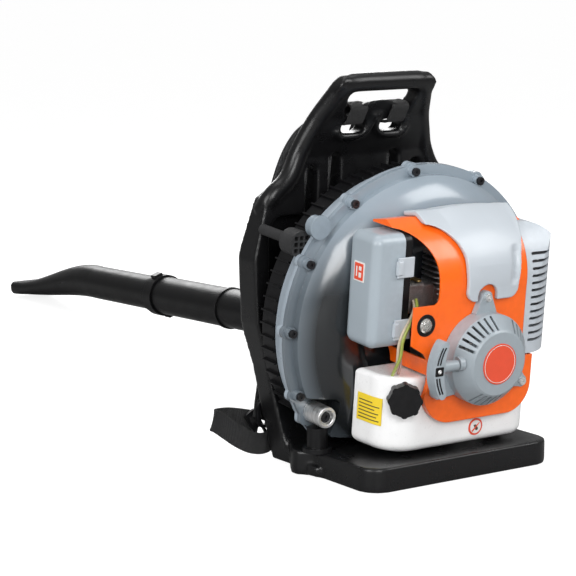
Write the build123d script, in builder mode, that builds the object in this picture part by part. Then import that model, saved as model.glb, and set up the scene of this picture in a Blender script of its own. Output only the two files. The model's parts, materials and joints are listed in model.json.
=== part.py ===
from build123d import *
import os
from math import cos, pi, radians, sin

# A petrol backpack leaf blower, in millimetres.
# +X is the wearer's right, +Y the wearer's forward direction, +Z up.  The origin is on the ground, in the
# middle of the blower's width.  The moulded frame and its base stand upright.  The fan housing and the
# engine lean back by LEAN about the X axis, so they are drawn square first and turned as they are written.

os.makedirs("parts", exist_ok=True)

LEAN = 5.4
WALL = 2.6

# Frame and base, upright
BASE_HALF = 150
BASE_FRONT = -170
BASE_BACK = 62
BASE_H = 32
FRAME_FRONT = 50
FRAME_BACK = 92
POST_X = 146
POST_Y = -48

# Fan housing, in the leaning frame
HOUSING_X = 12
HOUSING_Z = 192
FLANGE_R = 207
SHELL_R = 194
FLANGE_Y = -22
FLANGE_T = 6
BULGE_Y = -62
FRONT_WALL_Y = -48
REAR_WALL_Y = 12
HOUSING_FLOOR = 50
DUCT_X = 197
DUCT_Y = 2
DUCT_R = 34
DUCT_END = 152

# Engine, in the leaning frame
CRANK_X = 24
CRANK_Z = 172
CYL_Y = -86
STROKE = 36
BORE_R = 24
ROD = 64
JOURNAL_R = 8
IMPELLER_R = 110
COVER_Y = -148
STARTER_R = 60
STARTER_FACE_Y = -190

# Blowing tube
TUBE_DROP = 7.6
ELBOW_R = 48
HOSE_LENGTH = 112

LEANING = Location((0, 0, 0), (LEAN, 0, 0))


def front(y, x=0, z=0):
    """Plane that faces the engine side: across is +X, up is +Z, outward is -Y."""
    return Plane(origin=(x, y, z), x_dir=(1, 0, 0), z_dir=(0, -1, 0))


def flank(x, y=0, z=0):
    """Plane that faces the wearer's right: across is +Y, up is +Z, outward is +X."""
    return Plane(origin=(x, y, z), x_dir=(0, 1, 0), z_dir=(1, 0, 0))


def turning(x, z):
    """Half-plane of a part turned about a fore-and-aft axis: across is the radius, up is +Y."""
    return Plane(origin=(x, 0, z), x_dir=(1, 0, 0), z_dir=(0, 0, 1))


def fore_axis(x, z):
    """The fore-and-aft axis that such a part is turned about."""
    return Axis((x, 0, z), (0, 1, 0))


def polar(radius, angle, x=CRANK_X, z=CRANK_Z):
    """Point at an angle round a fore-and-aft axis, as (x, z)."""
    return (x + radius * cos(radians(angle)), z + radius * sin(radians(angle)))


def turned(points, x=CRANK_X, z=CRANK_Z):
    """Solid turned about a fore-and-aft axis from (radius, y) corners."""
    with BuildPart() as solid:
        with BuildSketch(turning(x, z)):
            with BuildLine():
                Polyline(*points, close=True)
            make_face()
        revolve(axis=fore_axis(x, z))
    return solid.part


# ---------------------------------------------------------------- back frame and base
# Seen from the side the moulding leans back into the handle; seen from behind it narrows to the handle.
SIDE_FRONT = [(12, 0), (30, 40), (46, 110), (FRAME_FRONT, 200), (FRAME_FRONT, 350), (49, 400), (27, 450), (-2, 491)]
SIDE_BACK = [(13, 506), (46, 462), (68, 418), (80, 350), (FRAME_BACK, 280), (FRAME_BACK, 170), (78, 80), (62, 0)]
HALF_OUTLINE = [(142, 0), (150, 60), (158, 125), (172, 185), (176, 270), (157, 348), (124, 372), (102, 425), (80, 480)]

with BuildPart() as back_frame:
    with BuildSketch(flank(-200)) as frame_side:
        with BuildLine():
            Polyline(*SIDE_FRONT)
            ThreePointArc(SIDE_FRONT[-1], (-1, 507), SIDE_BACK[0])
            Polyline(*SIDE_BACK)
            Line(SIDE_BACK[-1], SIDE_FRONT[0])
        make_face()
    extrude(amount=400)
    with BuildSketch(front(120)) as frame_outline:
        with BuildLine() as half:
            Polyline(*HALF_OUTLINE)
            ThreePointArc(HALF_OUTLINE[-1], (72, 507), (46, 515))
            Line((46, 515), (0, 515))
            Line((0, 515), (0, 0))
            Line((0, 0), HALF_OUTLINE[0])
        make_face()
        mirror(about=Plane.YZ)
    extrude(amount=200, mode=Mode.INTERSECT)
    # opening under the handle bar
    with BuildSketch(front(120)):
        with BuildLine():
            Polyline((50, 452), (56, 478))
            ThreePointArc((56, 478), (53, 485), (46, 487))
            Line((46, 487), (-46, 487))
            ThreePointArc((-46, 487), (-53, 485), (-56, 478))
            Polyline((-56, 478), (-50, 452))
            ThreePointArc((-50, 452), (0, 474), (50, 452))
        make_face()
    extrude(amount=200, mode=Mode.SUBTRACT)
    # strap slots below the strap bar
    with BuildSketch(front(120)):
        with Locations((-31, 438), (31, 438)):
            SlotOverall(38, 16)
    extrude(amount=200, mode=Mode.SUBTRACT)
    # four vent slots
    with BuildSketch(front(120)):
        for side in (-1, 1):
            with Locations((side * 48, 366)):
                SlotOverall(74, 20, rotation=90)
            with Locations((side * 86, 356)):
                SlotOverall(66, 20, rotation=90)
    extrude(amount=200, mode=Mode.SUBTRACT)
    # the panel is thinner than its rim: pockets on the engine side, with a rib across the middle
    with BuildSketch(front(FRAME_FRONT + 16)):
        with Locations((0, 250)):
            RectangleRounded(304, 150, 24)
        with Locations((0, 112)):
            RectangleRounded(268, 96, 20)
    extrude(amount=60, mode=Mode.SUBTRACT)
    # the base plate
    with BuildSketch() as base_outline:
        with BuildLine():
            Line((-BASE_HALF, -64), (-BASE_HALF, BASE_FRONT + 28))
            RadiusArc((-BASE_HALF, BASE_FRONT + 28), (-BASE_HALF + 28, BASE_FRONT), -28)
            Line((-BASE_HALF + 28, BASE_FRONT), (BASE_HALF - 28, BASE_FRONT))
            RadiusArc((BASE_HALF - 28, BASE_FRONT), (BASE_HALF, BASE_FRONT + 28), -28)
            Line((BASE_HALF, BASE_FRONT + 28), (BASE_HALF, -64))
            Spline((BASE_HALF, -64), (166, -30), (142, 20), tangents=[(0, 1), (-0.6, 1)])
            Line((142, 20), (120, BASE_BACK))
            Line((120, BASE_BACK), (-120, BASE_BACK))
            Line((-120, BASE_BACK), (-142, 20))
            Spline((-142, 20), (-166, -30), (-BASE_HALF, -64), tangents=[(-0.6, -1), (0, -1)])
        make_face()
    extrude(amount=BASE_H)
    # two bolt holes through the base under each post, counterbored from below
    with BuildSketch():
        with Locations((-POST_X, POST_Y), (POST_X, POST_Y)):
            Circle(9)
    extrude(amount=12, mode=Mode.SUBTRACT)
    with BuildSketch():
        with Locations((-POST_X, POST_Y), (POST_X, POST_Y)):
            Circle(3.4)
    extrude(amount=BASE_H, mode=Mode.SUBTRACT)
back_frame.part.label = "back_frame"
export_step(back_frame.part, "parts/back_frame.step")

# ---------------------------------------------------------------- posts and vibration sleeves
POST_TOP = 64
SLEEVE_R = 14
SLEEVE_Z = 86
SLEEVE_BACK = -28.5
SLEEVE_FRONT = -62

with BuildPart() as support_posts:
    for side in (-1, 1):
        with BuildSketch(Plane.XY.offset(BASE_H)):
            with Locations((side * POST_X, POST_Y)):
                Circle(19)
        extrude(amount=6)
        with BuildSketch(Plane.XY.offset(BASE_H + 6)):
            with Locations((side * POST_X, POST_Y)):
                Circle(13.5)
        extrude(amount=POST_TOP - BASE_H - 6)
        with BuildSketch(Plane.XY.offset(BASE_H)):
            with Locations((side * POST_X, POST_Y)):
                Circle(2.6)
        extrude(amount=20, mode=Mode.SUBTRACT)
support_posts.part.label = "support_posts"

with BuildPart() as post_bolts:
    for side in (-1, 1):
        with BuildSketch(Plane.XY.offset(5)):
            with Locations((side * POST_X, POST_Y)):
                RegularPolygon(6, 6)
        extrude(amount=6)
        with BuildSketch(Plane.XY.offset(11)):
            with Locations((side * POST_X, POST_Y)):
                Circle(2.5)
        extrude(amount=38)

with BuildPart() as vibration_sleeves:
    for side in (-1, 1):
        with BuildSketch(front(SLEEVE_BACK, side * POST_X, SLEEVE_Z)):
            Circle(SLEEVE_R)
        extrude(amount=SLEEVE_BACK - SLEEVE_FRONT)
        with BuildSketch(front(SLEEVE_FRONT, side * POST_X, SLEEVE_Z)):
            Circle(9.5)
        extrude(amount=-7, mode=Mode.SUBTRACT)
    chamfer(vibration_sleeves.edges().filter_by(GeomType.CIRCLE).group_by(Axis.Y)[0], 0.8)
vibration_sleeves.part.label = "vibration_sleeves"
export_step(vibration_sleeves.part.move(LEANING), "parts/vibration_sleeves.step")

with BuildPart() as sleeve_screws:
    for side in (-1, 1):
        with BuildSketch(front(SLEEVE_FRONT + 7, side * POST_X, SLEEVE_Z)):
            Circle(7)
        extrude(amount=4)
        with BuildSketch(front(SLEEVE_FRONT + 3, side * POST_X, SLEEVE_Z)):
            RegularPolygon(3.2, 6)
        extrude(amount=-2.5, mode=Mode.SUBTRACT)

with BuildPart() as mount_screws:
    add(post_bolts.part)
    add(sleeve_screws.part.moved(LEANING))
mount_screws.part.label = "mount_screws"

# ---------------------------------------------------------------- fan housing
SCREW_R = 201
SCREW_ANGLES = (32, 64, 96, 125, 153, 179, 204)
BRACKET_W = 32
BOSS = (-155, 330)
DUCT_TOP = 205
ELBOW_ROOM_X = 157
ELBOW_ROOM_Z = 178
SLEEVE_ROOM_X = 124
SLEEVE_ROOM_Z = 108


def elbow_room(inset):
    """The space at the lower right that the outlet elbow needs."""
    with BuildPart() as room:
        with BuildSketch(front(60)):
            with Locations((ELBOW_ROOM_X - inset + 60, ELBOW_ROOM_Z + inset - 90)):
                RectangleRounded(120, 180, 8)
        extrude(amount=160)
    return room.part


def dome(inset):
    """Front half of the air space, a bulge over the fan, drawn inset from the outer skin."""
    with BuildPart() as bulge:
        with BuildSketch(turning(HOUSING_X, HOUSING_Z)):
            with BuildLine():
                Line((0, FRONT_WALL_Y + inset), (98, FRONT_WALL_Y + inset))
                ThreePointArc((98, FRONT_WALL_Y + inset), (152, BULGE_Y + inset), (SHELL_R - inset, -38))
                Line((SHELL_R - inset, -38), (SHELL_R - inset, FLANGE_Y))
                Line((SHELL_R - inset, FLANGE_Y), (0, FLANGE_Y))
                Line((0, FLANGE_Y), (0, FRONT_WALL_Y + inset))
            make_face()
        revolve(axis=fore_axis(HOUSING_X, HOUSING_Z))
        split(bisect_by=Plane.XY.offset(HOUSING_FLOOR + inset), keep=Keep.TOP)
        # the lower corners step in behind the sleeves and their posts
        with BuildSketch(front(FLANGE_Y - FLANGE_T + inset)):
            for side in (-1, 1):
                with Locations((side * (SLEEVE_ROOM_X + 60 - inset), SLEEVE_ROOM_Z + inset - 60)):
                    RectangleRounded(120, 120, 10)
        extrude(amount=90, mode=Mode.SUBTRACT)
        add(elbow_room(inset), mode=Mode.SUBTRACT)
    return bulge.part


def drum(inset, start, back):
    """Rear half of the air space, a shallow drum between two planes."""
    with BuildPart() as shallow:
        with BuildSketch(front(start)):
            with Locations((HOUSING_X, HOUSING_Z)):
                Circle(SHELL_R - inset)
        extrude(amount=start - back)
        split(bisect_by=Plane.XY.offset(HOUSING_FLOOR + inset), keep=Keep.TOP)
        add(elbow_room(inset), mode=Mode.SUBTRACT)
    return shallow.part


def duct(radius, bottom):
    """The outlet: a round duct that leaves the fan housing downwards, closed by a round shoulder."""
    with BuildPart() as spigot:
        with BuildSketch(Plane.XY.offset(bottom)):
            with Locations((DUCT_X, DUCT_Y)):
                Circle(radius)
        extrude(amount=DUCT_TOP - bottom)
        with Locations((DUCT_X, DUCT_Y, DUCT_TOP)):
            Sphere(radius)
    return spigot.part


def flange(y, amount):
    """Rim of one housing half, with its lower corners drawn out to the sleeves."""
    with BuildPart() as rim:
        with BuildSketch(front(y)):
            with Locations((HOUSING_X, HOUSING_Z)):
                Circle(FLANGE_R)
            for side in (-1, 1):
                with Locations((side * (POST_X + 2), 98)):
                    RectangleRounded(BRACKET_W, 60, 8)
            for angle in SCREW_ANGLES:
                with Locations(polar(SCREW_R + 2, angle, HOUSING_X, HOUSING_Z)):
                    Circle(9)
        extrude(amount=amount)
        split(bisect_by=Plane.XY.offset(HOUSING_FLOOR), keep=Keep.TOP)
        add(elbow_room(0), mode=Mode.SUBTRACT)
    return rim.part


front_skin = dome(0)
front_air = dome(WALL)
rear_skin = drum(0, FLANGE_Y + 0.5, REAR_WALL_Y)
rear_air = drum(WALL, FLANGE_Y + 0.5, REAR_WALL_Y - WALL)
duct_skin = duct(DUCT_R, DUCT_END)
duct_air = duct(DUCT_R - WALL, DUCT_END - 1)
duct_room = duct(DUCT_R + 0.4, DUCT_END - 20)
elbow_space = elbow_room(0)
front_rim = flange(FLANGE_Y, FLANGE_T)
rear_rim = flange(FLANGE_Y + 0.5, -FLANGE_T)

with BuildPart() as fan_housing_front:
    add(front_skin)
    add(front_rim)
    for angle in SCREW_ANGLES:
        with BuildSketch(front(FLANGE_Y - FLANGE_T)):
            with Locations(polar(SCREW_R, angle, HOUSING_X, HOUSING_Z)):
                Circle(7.5)
        extrude(amount=7)
    # round boss on the upper left of the rim
    with BuildSketch(front(FLANGE_Y, *BOSS)):
        Circle(14)
    extrude(amount=11)
    add(front_air, mode=Mode.SUBTRACT)
    add(duct_room, mode=Mode.SUBTRACT)
    # opening for the crankcase hub, and screw holes
    with BuildSketch(front(FRONT_WALL_Y + 10)):
        with Locations((CRANK_X, CRANK_Z)):
            Circle(27)
    extrude(amount=30, mode=Mode.SUBTRACT)
    with BuildSketch(front(FLANGE_Y + 10)):
        for angle in SCREW_ANGLES:
            with Locations(polar(SCREW_R, angle, HOUSING_X, HOUSING_Z)):
                Circle(2.1)
    extrude(amount=40, mode=Mode.SUBTRACT)
    # flat cap over the upper left boss
    with BuildSketch(front(FLANGE_Y - 11, *BOSS)):
        Circle(15.5)
    extrude(amount=4)
fan_housing_front.part.label = "fan_housing_front"
export_step(fan_housing_front.part.move(LEANING), "parts/fan_housing_front.step")

INTAKE_R = 66
with BuildPart() as fan_housing_rear:
    add(rear_skin)
    add(rear_rim)
    add(duct_skin)
    add(rear_air, mode=Mode.SUBTRACT)
    add(duct_air, mode=Mode.SUBTRACT)
    add(front_air, mode=Mode.SUBTRACT)
    # the fan draws through a round eye with a raised lip
    with BuildSketch(front(REAR_WALL_Y - WALL)):
        with Locations((CRANK_X, CRANK_Z)):
            Circle(INTAKE_R + 5)
    extrude(amount=-10)
    with BuildSketch(front(REAR_WALL_Y - 10)):
        with Locations((CRANK_X, CRANK_Z)):
            Circle(INTAKE_R)
    extrude(amount=-30, mode=Mode.SUBTRACT)
    with BuildSketch(front(FLANGE_Y + 10)):
        for angle in SCREW_ANGLES:
            with Locations(polar(SCREW_R, angle, HOUSING_X, HOUSING_Z)):
                Circle(2.1)
    extrude(amount=12, mode=Mode.SUBTRACT)
fan_housing_rear.part.label = "fan_housing_rear"
export_step(fan_housing_rear.part.move(LEANING), "parts/fan_housing_rear.step")

with BuildPart() as housing_screws:
    for angle in SCREW_ANGLES:
        with BuildSketch(front(FLANGE_Y - FLANGE_T - 7)):
            with Locations(polar(SCREW_R, angle, HOUSING_X, HOUSING_Z)):
                Circle(5.5)
        extrude(amount=4)
        with BuildSketch(front(FLANGE_Y - FLANGE_T - 11)):
            with Locations(polar(SCREW_R, angle, HOUSING_X, HOUSING_Z)):
                RegularPolygon(2.6, 6)
        extrude(amount=-2.5, mode=Mode.SUBTRACT)
        with BuildSketch(front(FLANGE_Y - FLANGE_T - 7)):
            with Locations(polar(SCREW_R, angle, HOUSING_X, HOUSING_Z)):
                Circle(2)
        extrude(amount=-18)
housing_screws.part.label = "housing_screws"
export_step(housing_screws.part.move(LEANING), "parts/housing_screws.step")



# black intake guard behind the fan: a drum with radial ribs round its rim and slots in its back
GUARD_FRONT = 14
GUARD_BACK = 42
GUARD_R = 194
with BuildPart() as intake_guard:
    with BuildSketch(front(GUARD_FRONT)):
        with Locations((HOUSING_X, HOUSING_Z)):
            Circle(GUARD_R)
    extrude(amount=GUARD_FRONT - GUARD_BACK)
    with BuildSketch(front(GUARD_FRONT)):
        with Locations((HOUSING_X, HOUSING_Z)):
            with PolarLocations(GUARD_R + 1, 72):
                Rectangle(6, 2.2)
    extrude(amount=GUARD_FRONT - GUARD_BACK)
    with BuildSketch(front(GUARD_FRONT)):
        with Locations((HOUSING_X, HOUSING_Z)):
            Circle(GUARD_R - WALL)
    extrude(amount=GUARD_FRONT - GUARD_BACK + WALL, mode=Mode.SUBTRACT)
    split(bisect_by=Plane.XY.offset(74), keep=Keep.TOP)
    with BuildSketch(front(GUARD_FRONT)):
        with Locations((CRANK_X, CRANK_Z)):
            for ring_radius, count in ((26, 16), (46, 28), (66, 40)):
                with PolarLocations(ring_radius, count):
                    SlotOverall(15, 4.6)
    extrude(amount=GUARD_FRONT - GUARD_BACK - 5, mode=Mode.SUBTRACT)
    add(duct_room, mode=Mode.SUBTRACT)
    add(elbow_space, mode=Mode.SUBTRACT)
intake_guard.part.label = "intake_guard"
export_step(intake_guard.part.move(LEANING), "parts/intake_guard.step")

# honeycombed rubber mount behind the upper left of the housing rim, on a stem from the frame
MOUNT_Y = FLANGE_Y + FLANGE_T + 0.7
with BuildPart() as rear_mount:
    with BuildSketch(front(MOUNT_Y, -168, 305)):
        Circle(17)
        with GridLocations(8, 8, 3, 3):
            RectangleRounded(5.6, 5.6, 1, mode=Mode.SUBTRACT)
    extrude(amount=-22)
    with BuildSketch(front(MOUNT_Y + 22, -168, 305)):
        Circle(17)
    extrude(amount=-4)
    with BuildSketch(front(MOUNT_Y + 26, -165, 305)):
        Circle(7)
    extrude(amount=MOUNT_Y + 26 - 77)
rear_mount.part.label = "rear_mount"
export_step(rear_mount.part.move(LEANING), "parts/rear_mount.step")

# ---------------------------------------------------------------- fan impeller
IMPELLER_FRONT = -43
IMPELLER_BACK = -2
BLADES = 14
with BuildSketch() as blade:
    with BuildLine():
        ThreePointArc((34, 0), (74, 14), (108, 0))
        Line((108, 0), (107, 2.4))
        ThreePointArc((107, 2.4), (74, 16.4), (34, 2.4))
        Line((34, 2.4), (34, 0))
    make_face()

with BuildPart() as impeller:
    add(turned([(JOURNAL_R, IMPELLER_FRONT), (IMPELLER_R, IMPELLER_FRONT), (IMPELLER_R, IMPELLER_FRONT + 3),
                (40, IMPELLER_FRONT + 5), (20, IMPELLER_BACK - 10), (20, IMPELLER_BACK), (JOURNAL_R, IMPELLER_BACK)]))
    with BuildSketch(front(IMPELLER_FRONT + 2)):
        with Locations((CRANK_X, CRANK_Z)):
            with PolarLocations(0, BLADES):
                add(blade.sketch)
    extrude(amount=IMPELLER_FRONT - IMPELLER_BACK - 2)
impeller.part.label = "impeller"
export_step(impeller.part.move(LEANING), "parts/impeller.step")

# ---------------------------------------------------------------- crankcase, bearings and crank
CASE_SPLIT = CYL_Y
CASE_BACK = -62
CASE_FRONT = -110
CHAMBER_R = 33
CASE_R = 44
DECK_Z = 208
BEARING_R = 17.5
BEARING_W = 11
BEARING_BACK_Y = -67
BEARING_FRONT_Y = -105
CLEARANCE = 0.05

with BuildPart() as crankcase_rear:
    with BuildSketch(front(CASE_SPLIT)):
        with Locations((CRANK_X, CRANK_Z)):
            Circle(CASE_R)
        with Locations((CRANK_X, (CRANK_Z + DECK_Z) / 2)):
            Rectangle(76, DECK_Z - CRANK_Z)
    extrude(amount=CASE_SPLIT - CASE_BACK)
    with BuildSketch(front(CASE_BACK, CRANK_X, CRANK_Z)):
        Circle(25)
    extrude(amount=-14)
    with BuildSketch(front(CASE_SPLIT, CRANK_X, CRANK_Z)):
        Circle(CHAMBER_R)
        with Locations((0, 26)):
            Rectangle(2 * BORE_R + 2, 60)
    extrude(amount=CASE_SPLIT - BEARING_BACK_Y, mode=Mode.SUBTRACT)
    with BuildSketch(front(BEARING_BACK_Y, CRANK_X, CRANK_Z)):
        Circle(BEARING_R)
    extrude(amount=-BEARING_W - 6, mode=Mode.SUBTRACT)
    with BuildSketch(front(CASE_BACK + 14, CRANK_X, CRANK_Z)):
        Circle(JOURNAL_R + 2)
    extrude(amount=40, mode=Mode.SUBTRACT)
    split(bisect_by=Plane.XY.offset(DECK_Z), keep=Keep.BOTTOM)
    # room for the piston skirt at the bottom of its stroke
    with BuildSketch(Plane.XY.offset(DECK_Z - 8)):
        with Locations((CRANK_X, CYL_Y)):
            Circle(BORE_R + 1)
    extrude(amount=10, mode=Mode.SUBTRACT)
crankcase_rear.part.label = "crankcase_rear"
export_step(crankcase_rear.part.move(LEANING), "parts/crankcase_rear.step")

with BuildPart() as crankcase_front:
    with BuildSketch(front(CASE_SPLIT - 0.2)):
        with Locations((CRANK_X, CRANK_Z)):
            Circle(CASE_R)
        with Locations((CRANK_X, (CRANK_Z + DECK_Z) / 2)):
            Rectangle(76, DECK_Z - CRANK_Z)
    extrude(amount=CASE_SPLIT - 0.2 - CASE_FRONT)
    with BuildSketch(front(CASE_FRONT, CRANK_X, CRANK_Z)):
        Circle(25)
    extrude(amount=12)
    with BuildSketch(front(CASE_SPLIT, CRANK_X, CRANK_Z)):
        Circle(CHAMBER_R)
        with Locations((0, 26)):
            Rectangle(2 * BORE_R + 2, 60)
    extrude(amount=CASE_SPLIT - BEARING_FRONT_Y, mode=Mode.SUBTRACT)
    with BuildSketch(front(BEARING_FRONT_Y, CRANK_X, CRANK_Z)):
        Circle(BEARING_R)
    extrude(amount=BEARING_W + 4, mode=Mode.SUBTRACT)
    with BuildSketch(front(BEARING_FRONT_Y, CRANK_X, CRANK_Z)):
        Circle(JOURNAL_R + 2)
    extrude(amount=40, mode=Mode.SUBTRACT)
    split(bisect_by=Plane.XY.offset(DECK_Z), keep=Keep.BOTTOM)
    # room for the piston skirt at the bottom of its stroke
    with BuildSketch(Plane.XY.offset(DECK_Z - 8)):
        with Locations((CRANK_X, CYL_Y)):
            Circle(BORE_R + 1)
    extrude(amount=10, mode=Mode.SUBTRACT)
crankcase_front.part.label = "crankcase_front"
export_step(crankcase_front.part.move(LEANING), "parts/crankcase_front.step")

with BuildPart() as crank_bearings:
    for start, amount in ((BEARING_BACK_Y, -BEARING_W), (BEARING_FRONT_Y, BEARING_W)):
        with BuildSketch(front(start, CRANK_X, CRANK_Z)):
            Circle(BEARING_R - 0.01)
            Circle(JOURNAL_R + CLEARANCE, mode=Mode.SUBTRACT)
        extrude(amount=amount)
        with BuildSketch(front(start, CRANK_X, CRANK_Z)):
            Circle(14.6)
            Circle(11, mode=Mode.SUBTRACT)
        extrude(amount=amount * 0.12, mode=Mode.SUBTRACT)
crank_bearings.part.label = "crank_bearings"
export_step(crank_bearings.part.move(LEANING), "parts/crank_bearings.step")

PIN_Z = CRANK_Z + STROKE / 2
WEB_T = 8
ROD_T = 14
# two half shafts with their webs; the crankpin between the webs is drawn in the eye of the rod
with BuildPart() as crankshaft:
    for start, length in ((CYL_Y - ROD_T / 2 - WEB_T, 50), (CYL_Y + ROD_T / 2 + WEB_T, -74)):
        with BuildSketch(front(start, CRANK_X, CRANK_Z)):
            Circle(JOURNAL_R)
        extrude(amount=length)
    for start in (CYL_Y - ROD_T / 2, CYL_Y + ROD_T / 2 + WEB_T):
        with BuildSketch(front(start, CRANK_X, CRANK_Z)):
            Circle(29)
            with Locations((-24, 16), (24, 16)):
                Circle(11, mode=Mode.SUBTRACT)
        extrude(amount=WEB_T)
crankshaft.part.label = "crankshaft"
export_step(crankshaft.part.move(LEANING), "parts/crankshaft.step")

WRIST_Z = PIN_Z + ROD
with BuildPart() as connecting_rod:
    with BuildSketch(front(CYL_Y + 4)):
        with BuildLine():
            Polyline((CRANK_X - 6, PIN_Z), (CRANK_X - 4, WRIST_Z), (CRANK_X + 4, WRIST_Z), (CRANK_X + 6, PIN_Z), close=True)
        make_face()
    extrude(amount=8)
    for height, radius in ((PIN_Z, 11), (WRIST_Z, 8.5)):
        with BuildSketch(front(CYL_Y + 6, CRANK_X, height)):
            Circle(radius)
        extrude(amount=12)
    with BuildSketch(front(CYL_Y + 10, CRANK_X, PIN_Z)):
        Circle(7 + CLEARANCE)
        with Locations((0, ROD)):
            Circle(5 + CLEARANCE)
    extrude(amount=20, mode=Mode.SUBTRACT)
    with BuildSketch(front(CYL_Y + 6.5, CRANK_X, PIN_Z)):
        Circle(7)
    extrude(amount=13)
connecting_rod.part.label = "connecting_rod"
export_step(connecting_rod.part.move(LEANING), "parts/connecting_rod.step")

CROWN_Z = WRIST_Z + 18
with BuildPart() as piston:
    with BuildSketch(Plane.XY.offset(WRIST_Z - 16)):
        with Locations((CRANK_X, CYL_Y)):
            Circle(BORE_R - CLEARANCE)
    extrude(amount=CROWN_Z - WRIST_Z + 16)
    with BuildSketch(Plane.XY.offset(WRIST_Z - 16)):
        with Locations((CRANK_X, CYL_Y)):
            Circle(BORE_R - 3.5)
    extrude(amount=29, mode=Mode.SUBTRACT)
    with BuildSketch(front(CYL_Y + BORE_R, CRANK_X, WRIST_Z)):
        Circle(5)
    extrude(amount=2 * BORE_R, mode=Mode.SUBTRACT)
    for height in (5, 10):
        with BuildSketch(Plane.XY.offset(CROWN_Z - height)):
            with Locations((CRANK_X, CYL_Y)):
                Circle(BORE_R + 1)
                Circle(BORE_R - 2, mode=Mode.SUBTRACT)
        extrude(amount=1.5, mode=Mode.SUBTRACT)
piston.part.label = "piston"
export_step(piston.part.move(LEANING), "parts/piston.step")

with BuildPart() as piston_pin:
    with BuildSketch(front(CYL_Y + 20, CRANK_X, WRIST_Z)):
        Circle(4.99)
        Circle(3, mode=Mode.SUBTRACT)
    extrude(amount=40)
piston_pin.part.label = "piston_pin"
export_step(piston_pin.part.move(LEANING), "parts/piston_pin.step")

# ---------------------------------------------------------------- cylinder with fins
HEAD_Z = 300
FIN_COUNT = 11
FIN_PITCH = 7
with BuildPart() as cylinder:
    with BuildSketch(Plane.XY.offset(DECK_Z + 0.2)):
        with Locations((CRANK_X, CYL_Y)):
            RectangleRounded(70, 48, 6)
    extrude(amount=7)
    with BuildSketch(Plane.XY.offset(DECK_Z + 5)):
        with Locations((CRANK_X, CYL_Y)):
            Circle(BORE_R + 5)
    extrude(amount=HEAD_Z - DECK_Z - 5)
    for index in range(FIN_COUNT):
        with BuildSketch(Plane.XY.offset(DECK_Z + 16 + index * FIN_PITCH)):
            with Locations((CRANK_X, CYL_Y)):
                RectangleRounded(82, 46, 14)
        extrude(amount=2.2)
    # exhaust port to the right and intake port to the left
    with BuildSketch(flank(CRANK_X + 20, CYL_Y, 244)):
        RectangleRounded(34, 26, 4)
    extrude(amount=26)
    with BuildSketch(flank(CRANK_X - 20, CYL_Y, 244)):
        RectangleRounded(34, 26, 4)
    extrude(amount=-24)
    with BuildSketch(flank(CRANK_X - 60, CYL_Y, 244)):
        Circle(9)
    extrude(amount=120, mode=Mode.SUBTRACT)
    with BuildSketch(Plane.XY.offset(DECK_Z - 2)):
        with Locations((CRANK_X, CYL_Y)):
            Circle(BORE_R)
    extrude(amount=CROWN_Z + 2 - DECK_Z + 2, mode=Mode.SUBTRACT)
    with BuildSketch(Plane.XY.offset(CROWN_Z)):
        with Locations((CRANK_X, CYL_Y)):
            Circle(17)
    extrude(amount=14, taper=30, mode=Mode.SUBTRACT)
    with BuildSketch(Plane.XY.offset(CROWN_Z)):
        with Locations((CRANK_X, CYL_Y)):
            Circle(6)
    extrude(amount=60, mode=Mode.SUBTRACT)
cylinder.part.label = "cylinder"
export_step(cylinder.part.move(LEANING), "parts/cylinder.step")

with BuildPart() as spark_plug:
    for start, radius, length in ((284, 5.95, 17), (300.5, 10, 6), (306, 5, 18)):
        with BuildSketch(Plane.XY.offset(start)):
            with Locations((CRANK_X, CYL_Y)):
                Circle(radius)
        extrude(amount=length)
spark_plug.part.label = "spark_plug"
export_step(spark_plug.part.move(LEANING), "parts/spark_plug.step")

with BuildPart() as plug_cap:
    with BuildSketch(Plane.XY.offset(309)):
        with Locations((CRANK_X, CYL_Y)):
            Circle(9)
            Circle(5.2, mode=Mode.SUBTRACT)
    extrude(amount=16)
    with BuildSketch(Plane.XY.offset(324.8)):
        with Locations((CRANK_X, CYL_Y)):
            Circle(9)
    extrude(amount=6)
    with BuildSketch(flank(CRANK_X - 4, CYL_Y, 330)):
        Circle(5)
    extrude(amount=-24)
plug_cap.part.label = "plug_cap"
export_step(plug_cap.part.move(LEANING), "parts/plug_cap.step")

# ---------------------------------------------------------------- flywheel, coil and starter cup
with BuildPart() as flywheel:
    add(turned([(JOURNAL_R, -136), (46, -136), (48, -134), (48, -124), (34, -124), (30, -129), (15, -129), (15, -123),
                (JOURNAL_R, -123)]))
    with BuildSketch(front(-135.8)):
        with Locations((CRANK_X, CRANK_Z)):
            with PolarLocations(36, 20):
                Rectangle(20, 2)
    extrude(amount=7)
flywheel.part.label = "flywheel"
export_step(flywheel.part.move(LEANING), "parts/flywheel.step")

with BuildPart() as starter_cup:
    add(turned([(JOURNAL_R, -137), (14, -137), (20, -141), (20, -150), (17, -150), (17, -143), (JOURNAL_R, -140)]))
    with BuildSketch(front(-143)):
        with Locations((CRANK_X, CRANK_Z)):
            with PolarLocations(18.5, 4):
                Rectangle(6, 6)
    extrude(amount=8, mode=Mode.SUBTRACT)
starter_cup.part.label = "starter_cup"
export_step(starter_cup.part.move(LEANING), "parts/starter_cup.step")

COIL_ANGLE = 140
with BuildPart() as ignition_coil:
    with BuildSketch(front(-122, CRANK_X, CRANK_Z)):
        with Locations(Rot(0, 0, COIL_ANGLE) * Pos(63, 0, 0)):
            RectangleRounded(28, 40, 3)
        Circle(49, mode=Mode.SUBTRACT)
    extrude(amount=12)
ignition_coil.part.label = "ignition_coil"
export_step(ignition_coil.part.move(LEANING), "parts/ignition_coil.step")

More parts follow.
